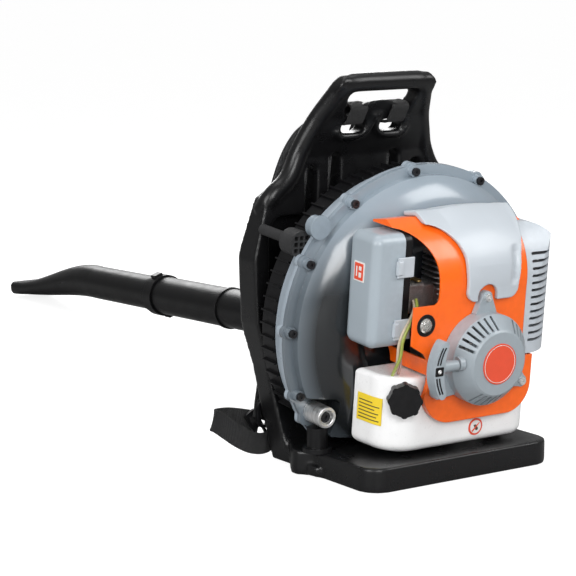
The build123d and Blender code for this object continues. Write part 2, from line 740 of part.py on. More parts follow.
# ---------------------------------------------------------------- engine cover and top cap
COVER_REAR_Y = -66
COVER_TOP = 348
GUARD_LEFT = 97
GUARD_LOW = 165.5
BOX_X = (-130, -84)
BOX_Y = (-121, -63)
BOX_Z = (188, 334)
BOX_MID_Y = (BOX_Y[0] + BOX_Y[1]) / 2
BOX_MID_Z = (BOX_Z[0] + BOX_Z[1]) / 2
BOX_DEEP = BOX_Y[1] - BOX_Y[0]
BOX_TALL = BOX_Z[1] - BOX_Z[0]
SEAM_X = BOX_X[1]


def hood(grow, rear):
    """Engine hood seen from the side: upright front, rounded over to a flat top, open at the back."""
    with BuildPart() as block:
        with BuildSketch(flank(-150)):
            with BuildLine():
                Line((rear, 60), (COVER_Y - grow, 60))
                Line((COVER_Y - grow, 60), (COVER_Y - grow, 256))
                ThreePointArc((COVER_Y - grow, 256), (-132 - grow * 0.7, 316 + grow * 0.7), (-92, COVER_TOP + grow))
                Line((-92, COVER_TOP + grow), (rear, COVER_TOP + grow - 5))
                Line((rear, COVER_TOP + grow - 5), (rear, 60))
            make_face()
        extrude(amount=320)
    return block.part


def cover_outline(inset):
    """Front view of the orange cover: a C that leaves the air cleaner and the fuel cap free."""
    with BuildSketch() as outline:
        with BuildLine():
            Line((-86, 246), (-54, 246))
            RadiusArc((-54, 246), (-46, 254), -8)
            Line((-46, 254), (-46, 284))
            ThreePointArc((-46, 284), (-60, 320), (-96, 340))
            Line((-96, 340), (-96, 370))
            Line((-96, 370), (62, 370))
            ThreePointArc((62, 370), (104, 340), (126, 284))
            Line((126, 284), (116, 165))
            Line((116, 165), (116, 126))
            RadiusArc((116, 126), (78, 88), 38)
            Line((78, 88), (-16, 88))
            RadiusArc((-16, 88), (-60, 126), 46)
            ThreePointArc((-60, 126), (-54, 158), (-66, 184))
            Line((-66, 184), (-86, 196))
            Line((-86, 196), (-86, 246))
        make_face()
        if inset:
            offset(amount=-inset, kind=Kind.INTERSECTION)
    return outline.sketch


cover_skin = hood(0, COVER_REAR_Y)
cover_air = hood(-WALL, COVER_REAR_Y + 10)
cover_face = cover_outline(0)
cover_inner_face = cover_outline(WALL)

PRIMER = (-65, 221)
EAR_R = 79
EAR_ANGLES = (90, -30, -150)
with BuildPart() as cover_hollow:
    with BuildSketch(front(COVER_REAR_Y + 10)):
        add(cover_inner_face)
    extrude(amount=130)
    add(cover_air, mode=Mode.INTERSECT)

with BuildPart() as cleaner_room:
    with BuildSketch(front(COVER_REAR_Y + 10)):
        with Locations((-87, 256)):
            Rectangle(90, 162)
    extrude(amount=130)
    add(cover_air, mode=Mode.INTERSECT)

with BuildPart() as engine_cover:
    with BuildSketch(front(COVER_REAR_Y)):
        add(cover_face)
    extrude(amount=120)
    add(cover_skin, mode=Mode.INTERSECT)
    add(cover_hollow.part, mode=Mode.SUBTRACT)
    # the right side stops short of the muffler guard
    with BuildSketch(front(COVER_REAR_Y + 10)):
        with Locations((GUARD_LEFT - 0.6 + 50, (GUARD_LOW + 336) / 2 - 1)):
            Rectangle(100, 336 - GUARD_LOW + 2)
    extrude(amount=130, mode=Mode.SUBTRACT)
    # the left side is only a skin where the air cleaner and the carburettor sit behind it
    add(cleaner_room.part, mode=Mode.SUBTRACT)
    with BuildSketch(flank(SEAM_X + 11, BOX_MID_Y, BOX_MID_Z)):
        RectangleRounded(BOX_DEEP + 1.2, BOX_TALL + 1.2, 13)
    extrude(amount=-40, mode=Mode.SUBTRACT)
    # the lower part is only a front skin, ahead of the tank
    with BuildSketch(front(COVER_REAR_Y + 10)):
        with Locations((10, 106)):
            Rectangle(280, 94)
    extrude(amount=84.4, mode=Mode.SUBTRACT)
    # round opening for the recoil starter, the primer seat and the screw holes
    with BuildSketch(front(COVER_Y + 20)):
        with Locations((CRANK_X, CRANK_Z)):
            Circle(STARTER_R - 5)
        with Locations(PRIMER):
            Circle(14.5)
        for angle in EAR_ANGLES:
            with Locations(polar(EAR_R, angle)):
                Circle(2.6)
    extrude(amount=60, mode=Mode.SUBTRACT)
engine_cover.part.label = "engine_cover"
export_step(engine_cover.part.move(LEANING), "parts/engine_cover.step")

cap_skin = hood(7, COVER_REAR_Y)
cap_floor = hood(0.4, COVER_REAR_Y + 10)
with BuildPart() as top_cap:
    with BuildSketch(front(COVER_REAR_Y - 2)):
        with BuildLine():
            ThreePointArc((-5, 264), (-3, 252), (5, 246))
            Line((5, 246), (12, 246))
            ThreePointArc((12, 246), (26, 267), (42, 246))
            Line((42, 246), (62, 246))
            ThreePointArc((62, 246), (73, 250), (77, 262))
            Line((77, 262), (83, 300))
            ThreePointArc((83, 300), (94, 330), (106, 372))
            Line((106, 372), (-50, 372))
            Line((-50, 372), (-50, 342))
            ThreePointArc((-50, 342), (-18, 326), (-6, 290))
            Line((-6, 290), (-5, 264))
        make_face()
    extrude(amount=110)
    add(cap_skin, mode=Mode.INTERSECT)
    add(cap_floor, mode=Mode.SUBTRACT)
top_cap.part.label = "top_cap"
export_step(top_cap.part.move(LEANING), "parts/top_cap.step")

# ---------------------------------------------------------------- exhaust side
with BuildPart() as muffler:
    with BuildSketch(flank(CRANK_X + 46.2, CYL_Y - 2, 246)):
        RectangleRounded(44, 64, 8)
    extrude(amount=60)
    fillet(muffler.edges().group_by(Axis.X)[-1], 6)
    with BuildSketch(flank(CRANK_X + 46, CYL_Y, 244)):
        Circle(9)
    extrude(amount=20, mode=Mode.SUBTRACT)
muffler.part.label = "muffler"
export_step(muffler.part.move(LEANING), "parts/muffler.step")

GUARD_PITCH = 9.5


def guard_solid(inset, left, rear):
    """The muffler guard without its hollow, drawn inset from its skin, with its open side moved left."""
    edge = GUARD_LEFT - left
    with BuildPart() as block:
        with BuildSketch(front(rear)):
            with BuildLine():
                Line((edge, GUARD_LOW + inset), (162 - inset, GUARD_LOW + inset))
                Line((162 - inset, GUARD_LOW + inset), (162 - inset, 284))
                ThreePointArc((162 - inset, 284), (147 - inset * 0.7, 319 - inset * 0.7), (112, 334 - inset))
                Line((112, 334 - inset), (edge, 334 - inset))
                Line((edge, 334 - inset), (edge, GUARD_LOW + inset))
            make_face()
        extrude(amount=100)
        # seen from above the front corner is well rounded
        with BuildSketch(Plane.XY.offset(GUARD_LOW - 5)):
            with BuildLine():
                Line((edge - 1, rear), (edge - 1, GUARD_FACE_Y + inset))
                Line((edge - 1, GUARD_FACE_Y + inset), (116, GUARD_FACE_Y + inset))
                ThreePointArc((116, GUARD_FACE_Y + inset), (143 - inset * 0.7, -134 + inset * 0.7), (162 - inset, -104))
                Line((162 - inset, -104), (162 - inset, rear))
                Line((162 - inset, rear), (edge - 1, rear))
            make_face()
        extrude(amount=200, mode=Mode.INTERSECT)
        add(hood(-0.4 - inset, rear), mode=Mode.INTERSECT)
    return block.part


GUARD_FACE_Y = COVER_Y + 0.4
guard_skin = guard_solid(0, 0, COVER_REAR_Y)
guard_air = guard_solid(WALL, 2, COVER_REAR_Y + 6)

with BuildPart() as muffler_guard:
    add(guard_skin)
    add(guard_air, mode=Mode.SUBTRACT)
    # slots across the front corner and along the flank
    with BuildSketch(front(GUARD_FACE_Y + 44)):
        with Locations((125, 240)):
            with GridLocations(1, GUARD_PITCH, 1, 13):
                SlotOverall(38, 3.8)
    extrude(amount=60, mode=Mode.SUBTRACT)
    with BuildSketch(flank(150, -84, 228)):
        with GridLocations(1, GUARD_PITCH, 1, 11):
            SlotOverall(26, 3.8)
    extrude(amount=30, mode=Mode.SUBTRACT)
muffler_guard.part.label = "muffler_guard"
export_step(muffler_guard.part.move(LEANING), "parts/muffler_guard.step")

with BuildPart() as guard_screw:
    with BuildSketch(flank(162.2, -90, 231.5)):
        Circle(6)
    extrude(amount=1.5)
    with BuildSketch(flank(163.7, -90, 231.5)):
        Circle(4.2)
        RegularPolygon(2.2, 6, mode=Mode.SUBTRACT)
    extrude(amount=3)

# ---------------------------------------------------------------- air cleaner and carburettor
with BuildPart() as air_cover:
    with BuildSketch(flank(SEAM_X, BOX_MID_Y, BOX_MID_Z)):
        RectangleRounded(BOX_DEEP, BOX_TALL, 13)
    extrude(amount=BOX_X[0] - BOX_X[1])
    fillet(air_cover.edges().group_by(Axis.X)[0], 12)
    with BuildSketch(flank(SEAM_X, BOX_MID_Y, BOX_MID_Z)):
        RectangleRounded(BOX_DEEP - 2 * WALL, BOX_TALL - 2 * WALL, 11)
    extrude(amount=BOX_X[0] - BOX_X[1] + WALL, taper=3, mode=Mode.SUBTRACT)
air_cover.part.label = "air_cover"

with BuildPart() as air_base:
    with BuildSketch(flank(SEAM_X + 0.4, BOX_MID_Y, BOX_MID_Z)):
        RectangleRounded(BOX_DEEP, BOX_TALL, 13)
    extrude(amount=10)
    with BuildSketch(flank(SEAM_X + 10, CYL_Y, 250)):
        RectangleRounded(40, 60, 6)
    extrude(amount=5)
    with BuildSketch(flank(SEAM_X, CYL_Y, 244)):
        Circle(10)
    extrude(amount=30, mode=Mode.SUBTRACT)
air_base.part.label = "air_base"

CLIP_Z = (292, 212)
CLIP_H = 26
with BuildPart() as air_clips:
    for height in CLIP_Z:
        with BuildSketch(flank(SEAM_X - 12, BOX_Y[0] - 2.6, height)):
            RectangleRounded(3.4, CLIP_H, 1.2)
        extrude(amount=24)
        with BuildSketch(flank(SEAM_X - 14, BOX_Y[0] - 3.6, height)):
            RectangleRounded(5.4, CLIP_H - 8, 1.6)
        extrude(amount=7)
air_clips.part.label = "air_clips"

with BuildPart() as air_filter:
    with BuildSketch(flank(SEAM_X - 1, BOX_MID_Y, BOX_MID_Z)):
        RectangleRounded(BOX_DEEP - 12, BOX_TALL - 16, 8)
    extrude(amount=-26)
    with BuildSketch(flank(SEAM_X - 27, BOX_MID_Y, BOX_MID_Z)):
        with GridLocations(1, 9, 1, 13):
            Rectangle(BOX_DEEP - 20, 4)
    extrude(amount=8, mode=Mode.SUBTRACT)
air_filter.part.label = "air_filter"

CARB_X = (-66, -38)
CARB_Z = 244
THROTTLE_X = -46
CHOKE_X = -58
with BuildPart() as intake_block:
    with BuildSketch(flank(CARB_X[1] + 0.2, CYL_Y, CARB_Z)):
        RectangleRounded(34, 34, 4)
        Circle(9, mode=Mode.SUBTRACT)
    extrude(amount=CRANK_X - 44.2 - CARB_X[1] - 0.4)

with BuildPart() as carburettor:
    with BuildSketch(flank(CARB_X[0], CYL_Y, CARB_Z)):
        RectangleRounded(38, 40, 4)
    extrude(amount=CARB_X[1] - CARB_X[0])
    with BuildSketch(flank(CARB_X[0] - 1, CYL_Y, CARB_Z)):
        Circle(9)
    extrude(amount=40, mode=Mode.SUBTRACT)
    with BuildSketch(Plane.XY.offset(CARB_Z - 12)):
        with Locations((THROTTLE_X, CYL_Y)):
            Circle(2.5)
    extrude(amount=40, mode=Mode.SUBTRACT)
    with BuildSketch(Plane.XY.offset(CARB_Z - 40)):
        with Locations((CHOKE_X, CYL_Y)):
            Circle(2.5)
    extrude(amount=52, mode=Mode.SUBTRACT)
    add(intake_block.part)
carburettor.part.label = "carburettor"

with BuildPart() as throttle_plate:
    with BuildSketch(Plane.XY.offset(CARB_Z - 11)):
        with Locations((THROTTLE_X, CYL_Y)):
            Circle(2.4)
    extrude(amount=36)
    with BuildSketch(flank(THROTTLE_X - 0.5, CYL_Y, CARB_Z)):
        Circle(8.6)
    extrude(amount=1)
    with BuildSketch(Plane.XY.offset(CARB_Z + 22)):
        with Locations((THROTTLE_X, CYL_Y - 8)):
            SlotOverall(26, 8, rotation=90)
    extrude(amount=2.4)
throttle_plate.part.label = "throttle_plate"

with BuildPart() as choke_plate:
    with BuildSketch(Plane.XY.offset(CARB_Z - 34)):
        with Locations((CHOKE_X, CYL_Y)):
            Circle(2.4)
    extrude(amount=45)
    with BuildSketch(flank(CHOKE_X - 0.5, CYL_Y, CARB_Z)):
        Circle(8.6)
        with Locations((0, 7)):
            Circle(2, mode=Mode.SUBTRACT)
    extrude(amount=1)
    with BuildSketch(Plane.XY.offset(CARB_Z - 37)):
        with Locations((CHOKE_X, CYL_Y - 13)):
            SlotOverall(36, 9, rotation=90)
    extrude(amount=3)
choke_plate.part.label = "choke_plate"

# ---------------------------------------------------------------- recoil starter
REEL_R = 38
REEL_FRONT = -181
REEL_BACK = -169
PULL_Z = 175
PULL_Y = -179
POST_R = 7
with BuildSketch() as ear:
    with BuildLine():
        Line((STARTER_R - 2, -17), (EAR_R, -8))
        ThreePointArc((EAR_R, -8), (EAR_R + 8, 0), (EAR_R, 8))
        Line((EAR_R, 8), (STARTER_R - 2, 17))
        Line((STARTER_R - 2, 17), (STARTER_R - 2, -17))
    make_face()

with BuildPart() as starter_housing:
    add(turned([(0, STARTER_FACE_Y), (41, STARTER_FACE_Y), (44, STARTER_FACE_Y + 2), (STARTER_R, -170),
                (STARTER_R, COVER_Y - 0.4), (STARTER_R - WALL, COVER_Y - 0.4), (STARTER_R - WALL, -169),
                (42, STARTER_FACE_Y + WALL + 1.4), (0, STARTER_FACE_Y + WALL + 1.4)]))
    with BuildSketch(front(COVER_Y - 0.4)):
        with Locations((CRANK_X, CRANK_Z)):
            with PolarLocations(0, 3, start_angle=90):
                add(ear.sketch)
    extrude(amount=9)
    # cooling slots, upper left and lower
    for middle, count in ((125, 7), (-100, 5), (42, 4)):
        with BuildSketch(front(-165)):
            with Locations((CRANK_X, CRANK_Z)):
                with PolarLocations(51, count, start_angle=middle - 5 * (count - 1), angular_range=10 * count):
                    Rectangle(15, 3.4)
        extrude(amount=40, mode=Mode.SUBTRACT)
    # rope nozzle to the left
    with BuildSketch(flank(CRANK_X - 50, PULL_Y + 3, PULL_Z)):
        Circle(9)
    extrude(amount=-8)
    with BuildSketch(flank(CRANK_X - 20, PULL_Y, PULL_Z)):
        Circle(2.6)
    extrude(amount=-60, mode=Mode.SUBTRACT)
    with BuildSketch(front(COVER_Y + 2)):
        for angle in EAR_ANGLES:
            with Locations(polar(EAR_R, angle)):
                Circle(2.6)
    extrude(amount=20, mode=Mode.SUBTRACT)
    # hub that the reel turns on
    with BuildSketch(front(STARTER_FACE_Y + 3, CRANK_X, CRANK_Z)):
        Circle(POST_R)
    extrude(amount=STARTER_FACE_Y + 3 + 155)
starter_housing.part.label = "starter_housing"

with BuildPart() as starter_screws:
    for angle in EAR_ANGLES:
        across, height = polar(EAR_R, angle)
        with BuildSketch(front(COVER_Y - 9.4, across, height)):
            Circle(5)
            RegularPolygon(2.2, 6, mode=Mode.SUBTRACT)
        extrude(amount=4)
        with BuildSketch(front(COVER_Y - 9.4, across, height)):
            Circle(2.4)
        extrude(amount=-16)

with BuildPart() as engine_screws:
    add(guard_screw.part)
    add(starter_screws.part)
engine_screws.part.label = "engine_screws"

BADGE_R = 26.5
with BuildPart() as starter_badge:
    with BuildSketch(front(STARTER_FACE_Y, CRANK_X, CRANK_Z)):
        Circle(BADGE_R)
    extrude(amount=1.2)
starter_badge.part.label = "starter_badge"

with BuildPart() as starter_reel:
    add(turned([(POST_R + CLEARANCE, REEL_FRONT), (REEL_R, REEL_FRONT), (REEL_R, REEL_FRONT + 2),
                (30, REEL_FRONT + 3), (30, REEL_BACK - 3), (REEL_R, REEL_BACK - 2), (REEL_R, REEL_BACK),
                (POST_R + CLEARANCE, REEL_BACK)]))
    with BuildSketch(front(REEL_BACK, CRANK_X, CRANK_Z)):
        with PolarLocations(11.5, 2):
            SlotOverall(9, 5)
    extrude(amount=-12)
starter_reel.part.label = "starter_reel"

SPRING_TURNS = 5
SPRING_T = 0.8
with BuildPart() as recoil_spring:
    with BuildSketch(front(REEL_BACK + 9, CRANK_X, CRANK_Z)):
        with BuildLine():
            inner = [((20 + 2.2 * t / (2 * pi)) * cos(t), (20 + 2.2 * t / (2 * pi)) * sin(t))
                     for t in [step * pi / 8 for step in range(16 * SPRING_TURNS + 1)]]
            outer = [(x + SPRING_T * cos(step * pi / 8), y + SPRING_T * sin(step * pi / 8))
                     for step, (x, y) in enumerate(inner)]
            Spline(*inner)
            Line(inner[-1], outer[-1])
            Spline(*outer[::-1])
            Line(outer[0], inner[0])
        make_face()
    extrude(amount=7)
recoil_spring.part.label = "recoil_spring"

HANDLE_X = -69
with BuildPart() as starter_handle:
    with BuildSketch(front(PULL_Y + 8)):
        with BuildLine():
            ThreePointArc((HANDLE_X + 2, 172 - 35), (HANDLE_X - 9, 172), (HANDLE_X + 2, 172 + 35))
            ThreePointArc((HANDLE_X + 2, 172 + 35), (HANDLE_X + 9, 172 + 37), (HANDLE_X + 12, 172 + 30))
            ThreePointArc((HANDLE_X + 12, 172 + 30), (HANDLE_X + 7, 172), (HANDLE_X + 12, 172 - 30))
            ThreePointArc((HANDLE_X + 12, 172 - 30), (HANDLE_X + 9, 172 - 37), (HANDLE_X + 2, 172 - 35))
        make_face()
    extrude(amount=16)
    with BuildSketch(flank(HANDLE_X + 4, PULL_Y, PULL_Z)):
        Circle(8)
    extrude(amount=28, taper=3)
    with BuildSketch(flank(HANDLE_X + 3, PULL_Y, PULL_Z)):
        Circle(2.4)
    extrude(amount=60, mode=Mode.SUBTRACT)
starter_handle.part.label = "starter_handle"

with BuildPart() as starter_rope:
    with BuildSketch(flank(HANDLE_X + 4, PULL_Y, PULL_Z)):
        Circle(1.8)
    extrude(amount=CRANK_X - REEL_R - 1 - HANDLE_X - 4)
starter_rope.part.label = "starter_rope"

# ---------------------------------------------------------------- fuel system
with BuildPart() as primer_base:
    with BuildSketch(front(COVER_Y + 9)):
        with Locations(PRIMER):
            Circle(14.2)
            Circle(9.8, mode=Mode.SUBTRACT)
    extrude(amount=9.5)
    with BuildSketch(front(COVER_Y + 13)):
        with Locations(PRIMER):
            Circle(14.2)
    extrude(amount=4.4)
primer_base.part.label = "primer_base"

with BuildPart() as primer_bulb:
    with BuildSketch(front(COVER_Y + 3.5)):
        with Locations(PRIMER):
            Circle(9.5)
    extrude(amount=8)
    fillet(primer_bulb.edges().group_by(Axis.Y)[0], 7)
primer_bulb.part.label = "primer_bulb"

TANK_X = (-107, 132)
TANK_Y = (-138, -64)
TANK_FLOOR = 50
TANK_LOW = 116
TANK_HIGH = 150
CORNER_R = 34
NECK_TURN = 30
NECK = Plane(
    origin=(-80, -132, 124),
    x_dir=(cos(radians(NECK_TURN)), -sin(radians(NECK_TURN)), 0),
    z_dir=(-sin(radians(NECK_TURN)), -cos(radians(NECK_TURN)), 0),
)
with BuildPart() as fuel_tank:
    with BuildSketch(Plane.XY.offset(TANK_FLOOR)):
        with BuildLine():
            Line((TANK_X[0], TANK_Y[1]), (-104, -92))
            ThreePointArc((-104, -92), (-91, -124), (-58, TANK_Y[0]))
            Line((-58, TANK_Y[0]), (TANK_X[1] - CORNER_R, TANK_Y[0]))
            RadiusArc((TANK_X[1] - CORNER_R, TANK_Y[0]), (TANK_X[1], TANK_Y[0] + CORNER_R), -CORNER_R)
            Line((TANK_X[1], TANK_Y[0] + CORNER_R), (TANK_X[1], TANK_Y[1]))
            Line((TANK_X[1], TANK_Y[1]), (TANK_X[0], TANK_Y[1]))
        make_face()
    extrude(amount=TANK_HIGH - TANK_FLOOR)
    # the right part is lower, under the crankcase
    with BuildSketch(front(-40)):
        with BuildLine():
            Line((-40, TANK_HIGH + 1), (-22, TANK_LOW + 6))
            Line((-22, TANK_LOW + 6), (-10, TANK_LOW))
            Line((-10, TANK_LOW), (140, TANK_LOW))
            Line((140, TANK_LOW), (140, TANK_HIGH + 1))
            Line((140, TANK_HIGH + 1), (-40, TANK_HIGH + 1))
        make_face()
    extrude(amount=110, mode=Mode.SUBTRACT)
    fillet(fuel_tank.edges().group_by(Axis.Z)[0], 12)
    fillet(fuel_tank.edges().group_by(Axis.Z)[-1], 7)
    # the filler neck points out of the rounded front left corner
    with BuildSketch(NECK):
        Circle(16)
    extrude(amount=11, both=True)
    # hollow, filled through the neck
    with BuildSketch(Plane.XY.offset(TANK_FLOOR + WALL)):
        with Locations(((TANK_X[0] + TANK_X[1]) / 2 + 8, (TANK_Y[0] + TANK_Y[1]) / 2)):
            RectangleRounded(TANK_X[1] - TANK_X[0] - 40, TANK_Y[1] - TANK_Y[0] - 10, 24)
    extrude(amount=TANK_LOW - TANK_FLOOR - 2 * WALL, mode=Mode.SUBTRACT)
    with BuildSketch(NECK.offset(20)):
        Circle(13)
    extrude(amount=-48, mode=Mode.SUBTRACT)
fuel_tank.part.label = "fuel_tank"

CAP_R = 22.5
with BuildPart() as fuel_cap:
    with BuildSketch(NECK.offset(2)):
        Circle(CAP_R - 2)
        with PolarLocations(CAP_R - 5, 8):
            Circle(5)
    extrude(amount=15)
    with BuildSketch(NECK):
        Circle(16.3)
    extrude(amount=11.4, mode=Mode.SUBTRACT)
fuel_cap.part.label = "fuel_cap"

with BuildPart() as fuel_filter:
    with BuildSketch(Plane.XY.offset(TANK_FLOOR + 4)):
        with Locations((-10, -100)):
            Circle(9)
    extrude(amount=22)

HOSE_R = 2.3
with BuildPart() as fuel_hoses:
    for index in range(3):
        shift = index * 5.4
        with BuildLine():
            Spline((-78 + shift, -112, 150.6), (-84 + shift, -128, 172), (-92 + shift, -131.6, 198),
                   (-82 + shift, -131.6, 232), (-72 + shift, -131, 246))
        with BuildSketch(Plane.XY.offset(150.6)):
            with Locations((-78 + shift, -112)):
                Circle(HOSE_R)
        sweep()
    add(fuel_filter.part)
fuel_hoses.part.label = "fuel_hoses"

# ---------------------------------------------------------------- blowing tube
ELBOW_TOP = 146
COLLAR_TOP = 176
BEND = 90 - TUBE_DROP
ELBOW_END = (DUCT_Y + ELBOW_R * (1 - cos(radians(BEND))), ELBOW_TOP - ELBOW_R * sin(radians(BEND)))
DROP = radians(TUBE_DROP)
NECK_LENGTH = 66
TUBE_START = (DUCT_X, ELBOW_END[0] + NECK_LENGTH * cos(DROP), ELBOW_END[1] - NECK_LENGTH * sin(DROP))


def along(distance):
    """Plane across the blowing tube, at a distance from the end of the elbow."""
    return Plane(
        origin=(DUCT_X, TUBE_START[1] + distance * cos(DROP), TUBE_START[2] - distance * sin(DROP)),
        x_dir=(1, 0, 0),
        z_dir=(0, cos(DROP), -sin(DROP)),
    )


def tube(start, end, outer, inner):
    """Straight length of tube between two distances."""
    with BuildPart() as length:
        with BuildSketch(along(start)):
            Circle(outer)
            Circle(inner, mode=Mode.SUBTRACT)
        extrude(amount=end - start)
    return length.part


with BuildPart() as outlet_elbow:
    with BuildLine() as elbow_path:
        Line((DUCT_X, DUCT_Y, COLLAR_TOP), (DUCT_X, DUCT_Y, ELBOW_TOP))
        ThreePointArc(
            (DUCT_X, DUCT_Y, ELBOW_TOP),
            (DUCT_X, DUCT_Y + ELBOW_R * (1 - cos(radians(BEND / 2))), ELBOW_TOP - ELBOW_R * sin(radians(BEND / 2))),
            (DUCT_X, DUCT_Y + ELBOW_R * (1 - cos(radians(BEND))), ELBOW_TOP - ELBOW_R * sin(radians(BEND))),
        )
        Line(elbow_path.line @ 1, TUBE_START)
    with BuildSketch(Plane.XY.offset(COLLAR_TOP)):
        with Locations((DUCT_X, DUCT_Y)):
            Circle(DUCT_R)
            Circle(DUCT_R - WALL, mode=Mode.SUBTRACT)
    sweep(path=elbow_path.line)
    with BuildSketch(Plane.XY.offset(ELBOW_TOP)):
        with Locations((DUCT_X, DUCT_Y)):
            Circle(DUCT_R + 3)
            Circle(DUCT_R - WALL, mode=Mode.SUBTRACT)
    extrude(amount=COLLAR_TOP - ELBOW_TOP)
    with BuildSketch(Plane.XY.offset(DUCT_END - 0.5)):
        with Locations((DUCT_X, DUCT_Y)):
            Circle(DUCT_R + 0.3)
    extrude(amount=COLLAR_TOP - DUCT_END + 1, mode=Mode.SUBTRACT)
outlet_elbow.part.label = "outlet_elbow"

CUFF = 14
FOLDS = 12
HOSE_IN = DUCT_R + 0.3
HOSE_OUT = 41
FOLD = HOSE_LENGTH / FOLDS
outer_folds = [(HOSE_OUT if index % 2 else HOSE_OUT - 5, index * FOLD / 2) for index in range(2 * FOLDS + 1)]
inner_folds = [(radius - 2.2, place) for radius, place in outer_folds]
with BuildPart() as bellows_hose:
    with BuildSketch(along(0).rotated((90, 0, 0))):
        with BuildLine():
            Polyline((HOSE_IN, -CUFF), (HOSE_IN + 2.4, -CUFF), (HOSE_IN + 2.4, 0), *outer_folds[1:-1],
                     (HOSE_IN + 2.4, HOSE_LENGTH), (HOSE_IN + 2.4, HOSE_LENGTH + CUFF), (HOSE_IN, HOSE_LENGTH + CUFF),
                     (HOSE_IN, HOSE_LENGTH), *inner_folds[-2:0:-1], (HOSE_IN, 0), close=True)
        make_face()
    revolve(axis=Axis(along(0).origin, along(0).z_dir))
bellows_hose.part.label = "bellows_hose"

CLAMP_W = 9


def clamp_ring(start):
    """Hose clamp: a steel band with its screw lug on the far side."""
    with BuildPart() as ring:
        with BuildSketch(along(start)):
            Circle(HOSE_IN + 3.7)
            with Locations((HOSE_IN + 5, 0)):
                Rectangle(9, 12)
            Circle(HOSE_IN + 2.5, mode=Mode.SUBTRACT)
        extrude(amount=CLAMP_W)
    return ring.part


with BuildPart() as hose_clamp_rear:
    add(clamp_ring(-CUFF + 2))
hose_clamp_rear.part.label = "hose_clamp_rear"

with BuildPart() as hose_clamp_front:
    add(clamp_ring(HOSE_LENGTH + 3))
hose_clamp_front.part.label = "hose_clamp_front"

CONTROL_START = HOSE_LENGTH - 6
CONTROL_END = 330
MIDDLE_END = 575
FRONT_END = 800
TIP_BEND = 1034
TIP_END = 1298
PIPE_R = 32.5
NOZZLE_R = 29.5
PIPE_WALL = 2.2
SOCKET = 22


def socket(start, radius):
    """Bayonet socket collar with two lugs, round the end of the pipe before it."""
    with BuildPart() as collar:
        with BuildSketch(along(start)):
            Circle(radius + 3.4)
            Circle(radius + 0.4, mode=Mode.SUBTRACT)
        extrude(amount=SOCKET)
        with BuildSketch(along(start + 4)):
            with PolarLocations(radius + 5, 2, start_angle=70):
                RectangleRounded(6, 16, 2)
        extrude(amount=SOCKET - 8)
    return collar.part


with BuildPart() as control_pipe:
    add(tube(CONTROL_START, HOSE_LENGTH + CUFF + 1, DUCT_R, DUCT_R - PIPE_WALL))
    add(tube(HOSE_LENGTH + CUFF + 1, CONTROL_END, PIPE_R, PIPE_R - PIPE_WALL))
    add(tube(HOSE_LENGTH + CUFF + 1, HOSE_LENGTH + CUFF + 5, PIPE_R + 6, PIPE_R - PIPE_WALL))
control_pipe.part.label = "control_pipe"

with BuildPart() as front_pipe:
    add(tube(CONTROL_END + 0.5, FRONT_END, PIPE_R, PIPE_R - PIPE_WALL))
    add(socket(CONTROL_END - SOCKET + 4, PIPE_R))
    add(tube(CONTROL_END + 0.5, CONTROL_END + 4, PIPE_R + 3.4, PIPE_R - PIPE_WALL))
    add(tube(MIDDLE_END, MIDDLE_END + 6, PIPE_R + 2.4, PIPE_R - PIPE_WALL))
front_pipe.part.label = "front_pipe"

TIP_DROP = 8
TIP_WIDE = 78
TIP_TALL = 24
tip_start = along(TIP_BEND + 16)
tip_dir = (0, cos(DROP + radians(TIP_DROP)), -sin(DROP + radians(TIP_DROP)))
tip_middle = Plane(
    origin=tuple(Vector(*tip_start.origin) + 110 * Vector(*tip_dir)), x_dir=(1, 0, 0), z_dir=tip_dir
)
tip_end = tip_middle.offset(TIP_END - TIP_BEND - 126)


def nozzle_body(grow):
    """The nozzle pipe: round, a slight bend, then drawn out to a wide flat mouth."""
    with BuildPart() as body:
        with BuildSketch(along(FRONT_END + 0.5 - (1 if grow else 0))):
            Circle(NOZZLE_R - grow)
        extrude(amount=TIP_BEND - FRONT_END - 20 + (1 if grow else 0))
        with BuildSketch(along(TIP_BEND - 19.5)):
            Circle(NOZZLE_R - grow)
        with BuildSketch(tip_start):
            Circle(NOZZLE_R - grow)
        with BuildSketch(tip_middle):
            Ellipse(NOZZLE_R + 2 - grow, NOZZLE_R - 7 - grow)
        with BuildSketch(tip_end.offset(1 if grow else 0)):
            RectangleRounded(TIP_WIDE - 2 * grow, TIP_TALL - 2 * grow, TIP_TALL / 2 - 2 - grow)
        loft()
    return body.part


nozzle_skin = nozzle_body(0)
nozzle_air = nozzle_body(PIPE_WALL)
with BuildPart() as nozzle_pipe:
    add(nozzle_skin)
    add(socket(FRONT_END - SOCKET + 4, PIPE_R))
    add(tube(FRONT_END + 0.5, FRONT_END + 4, PIPE_R + 3.4, NOZZLE_R - PIPE_WALL))
    add(tube(FRONT_END + 4, FRONT_END + 16, PIPE_R + 0.6, NOZZLE_R - PIPE_WALL))
    add(nozzle_air, mode=Mode.SUBTRACT)
nozzle_pipe.part.label = "nozzle_pipe"

# ---------------------------------------------------------------- throttle grip
GRIP_AT = 215
GRIP_SIDE = Plane(origin=along(GRIP_AT).origin, x_dir=along(GRIP_AT).z_dir, z_dir=(1, 0, 0))
# height above the tube's axis, shift along it, half depth and half width
GRIP_SHAPE = [(28, 0, 24, 16), (58, 1, 16, 14), (92, -1, 19, 15), (138, 2, 20, 15), (156, 1, 16, 12)]
PIVOT_R = 2
TRIGGER_HALF = 5
TRIGGER_PIVOT = (10, 133)
CRUISE_PIVOT = (-8, 130)
CRUISE_X = -16.6

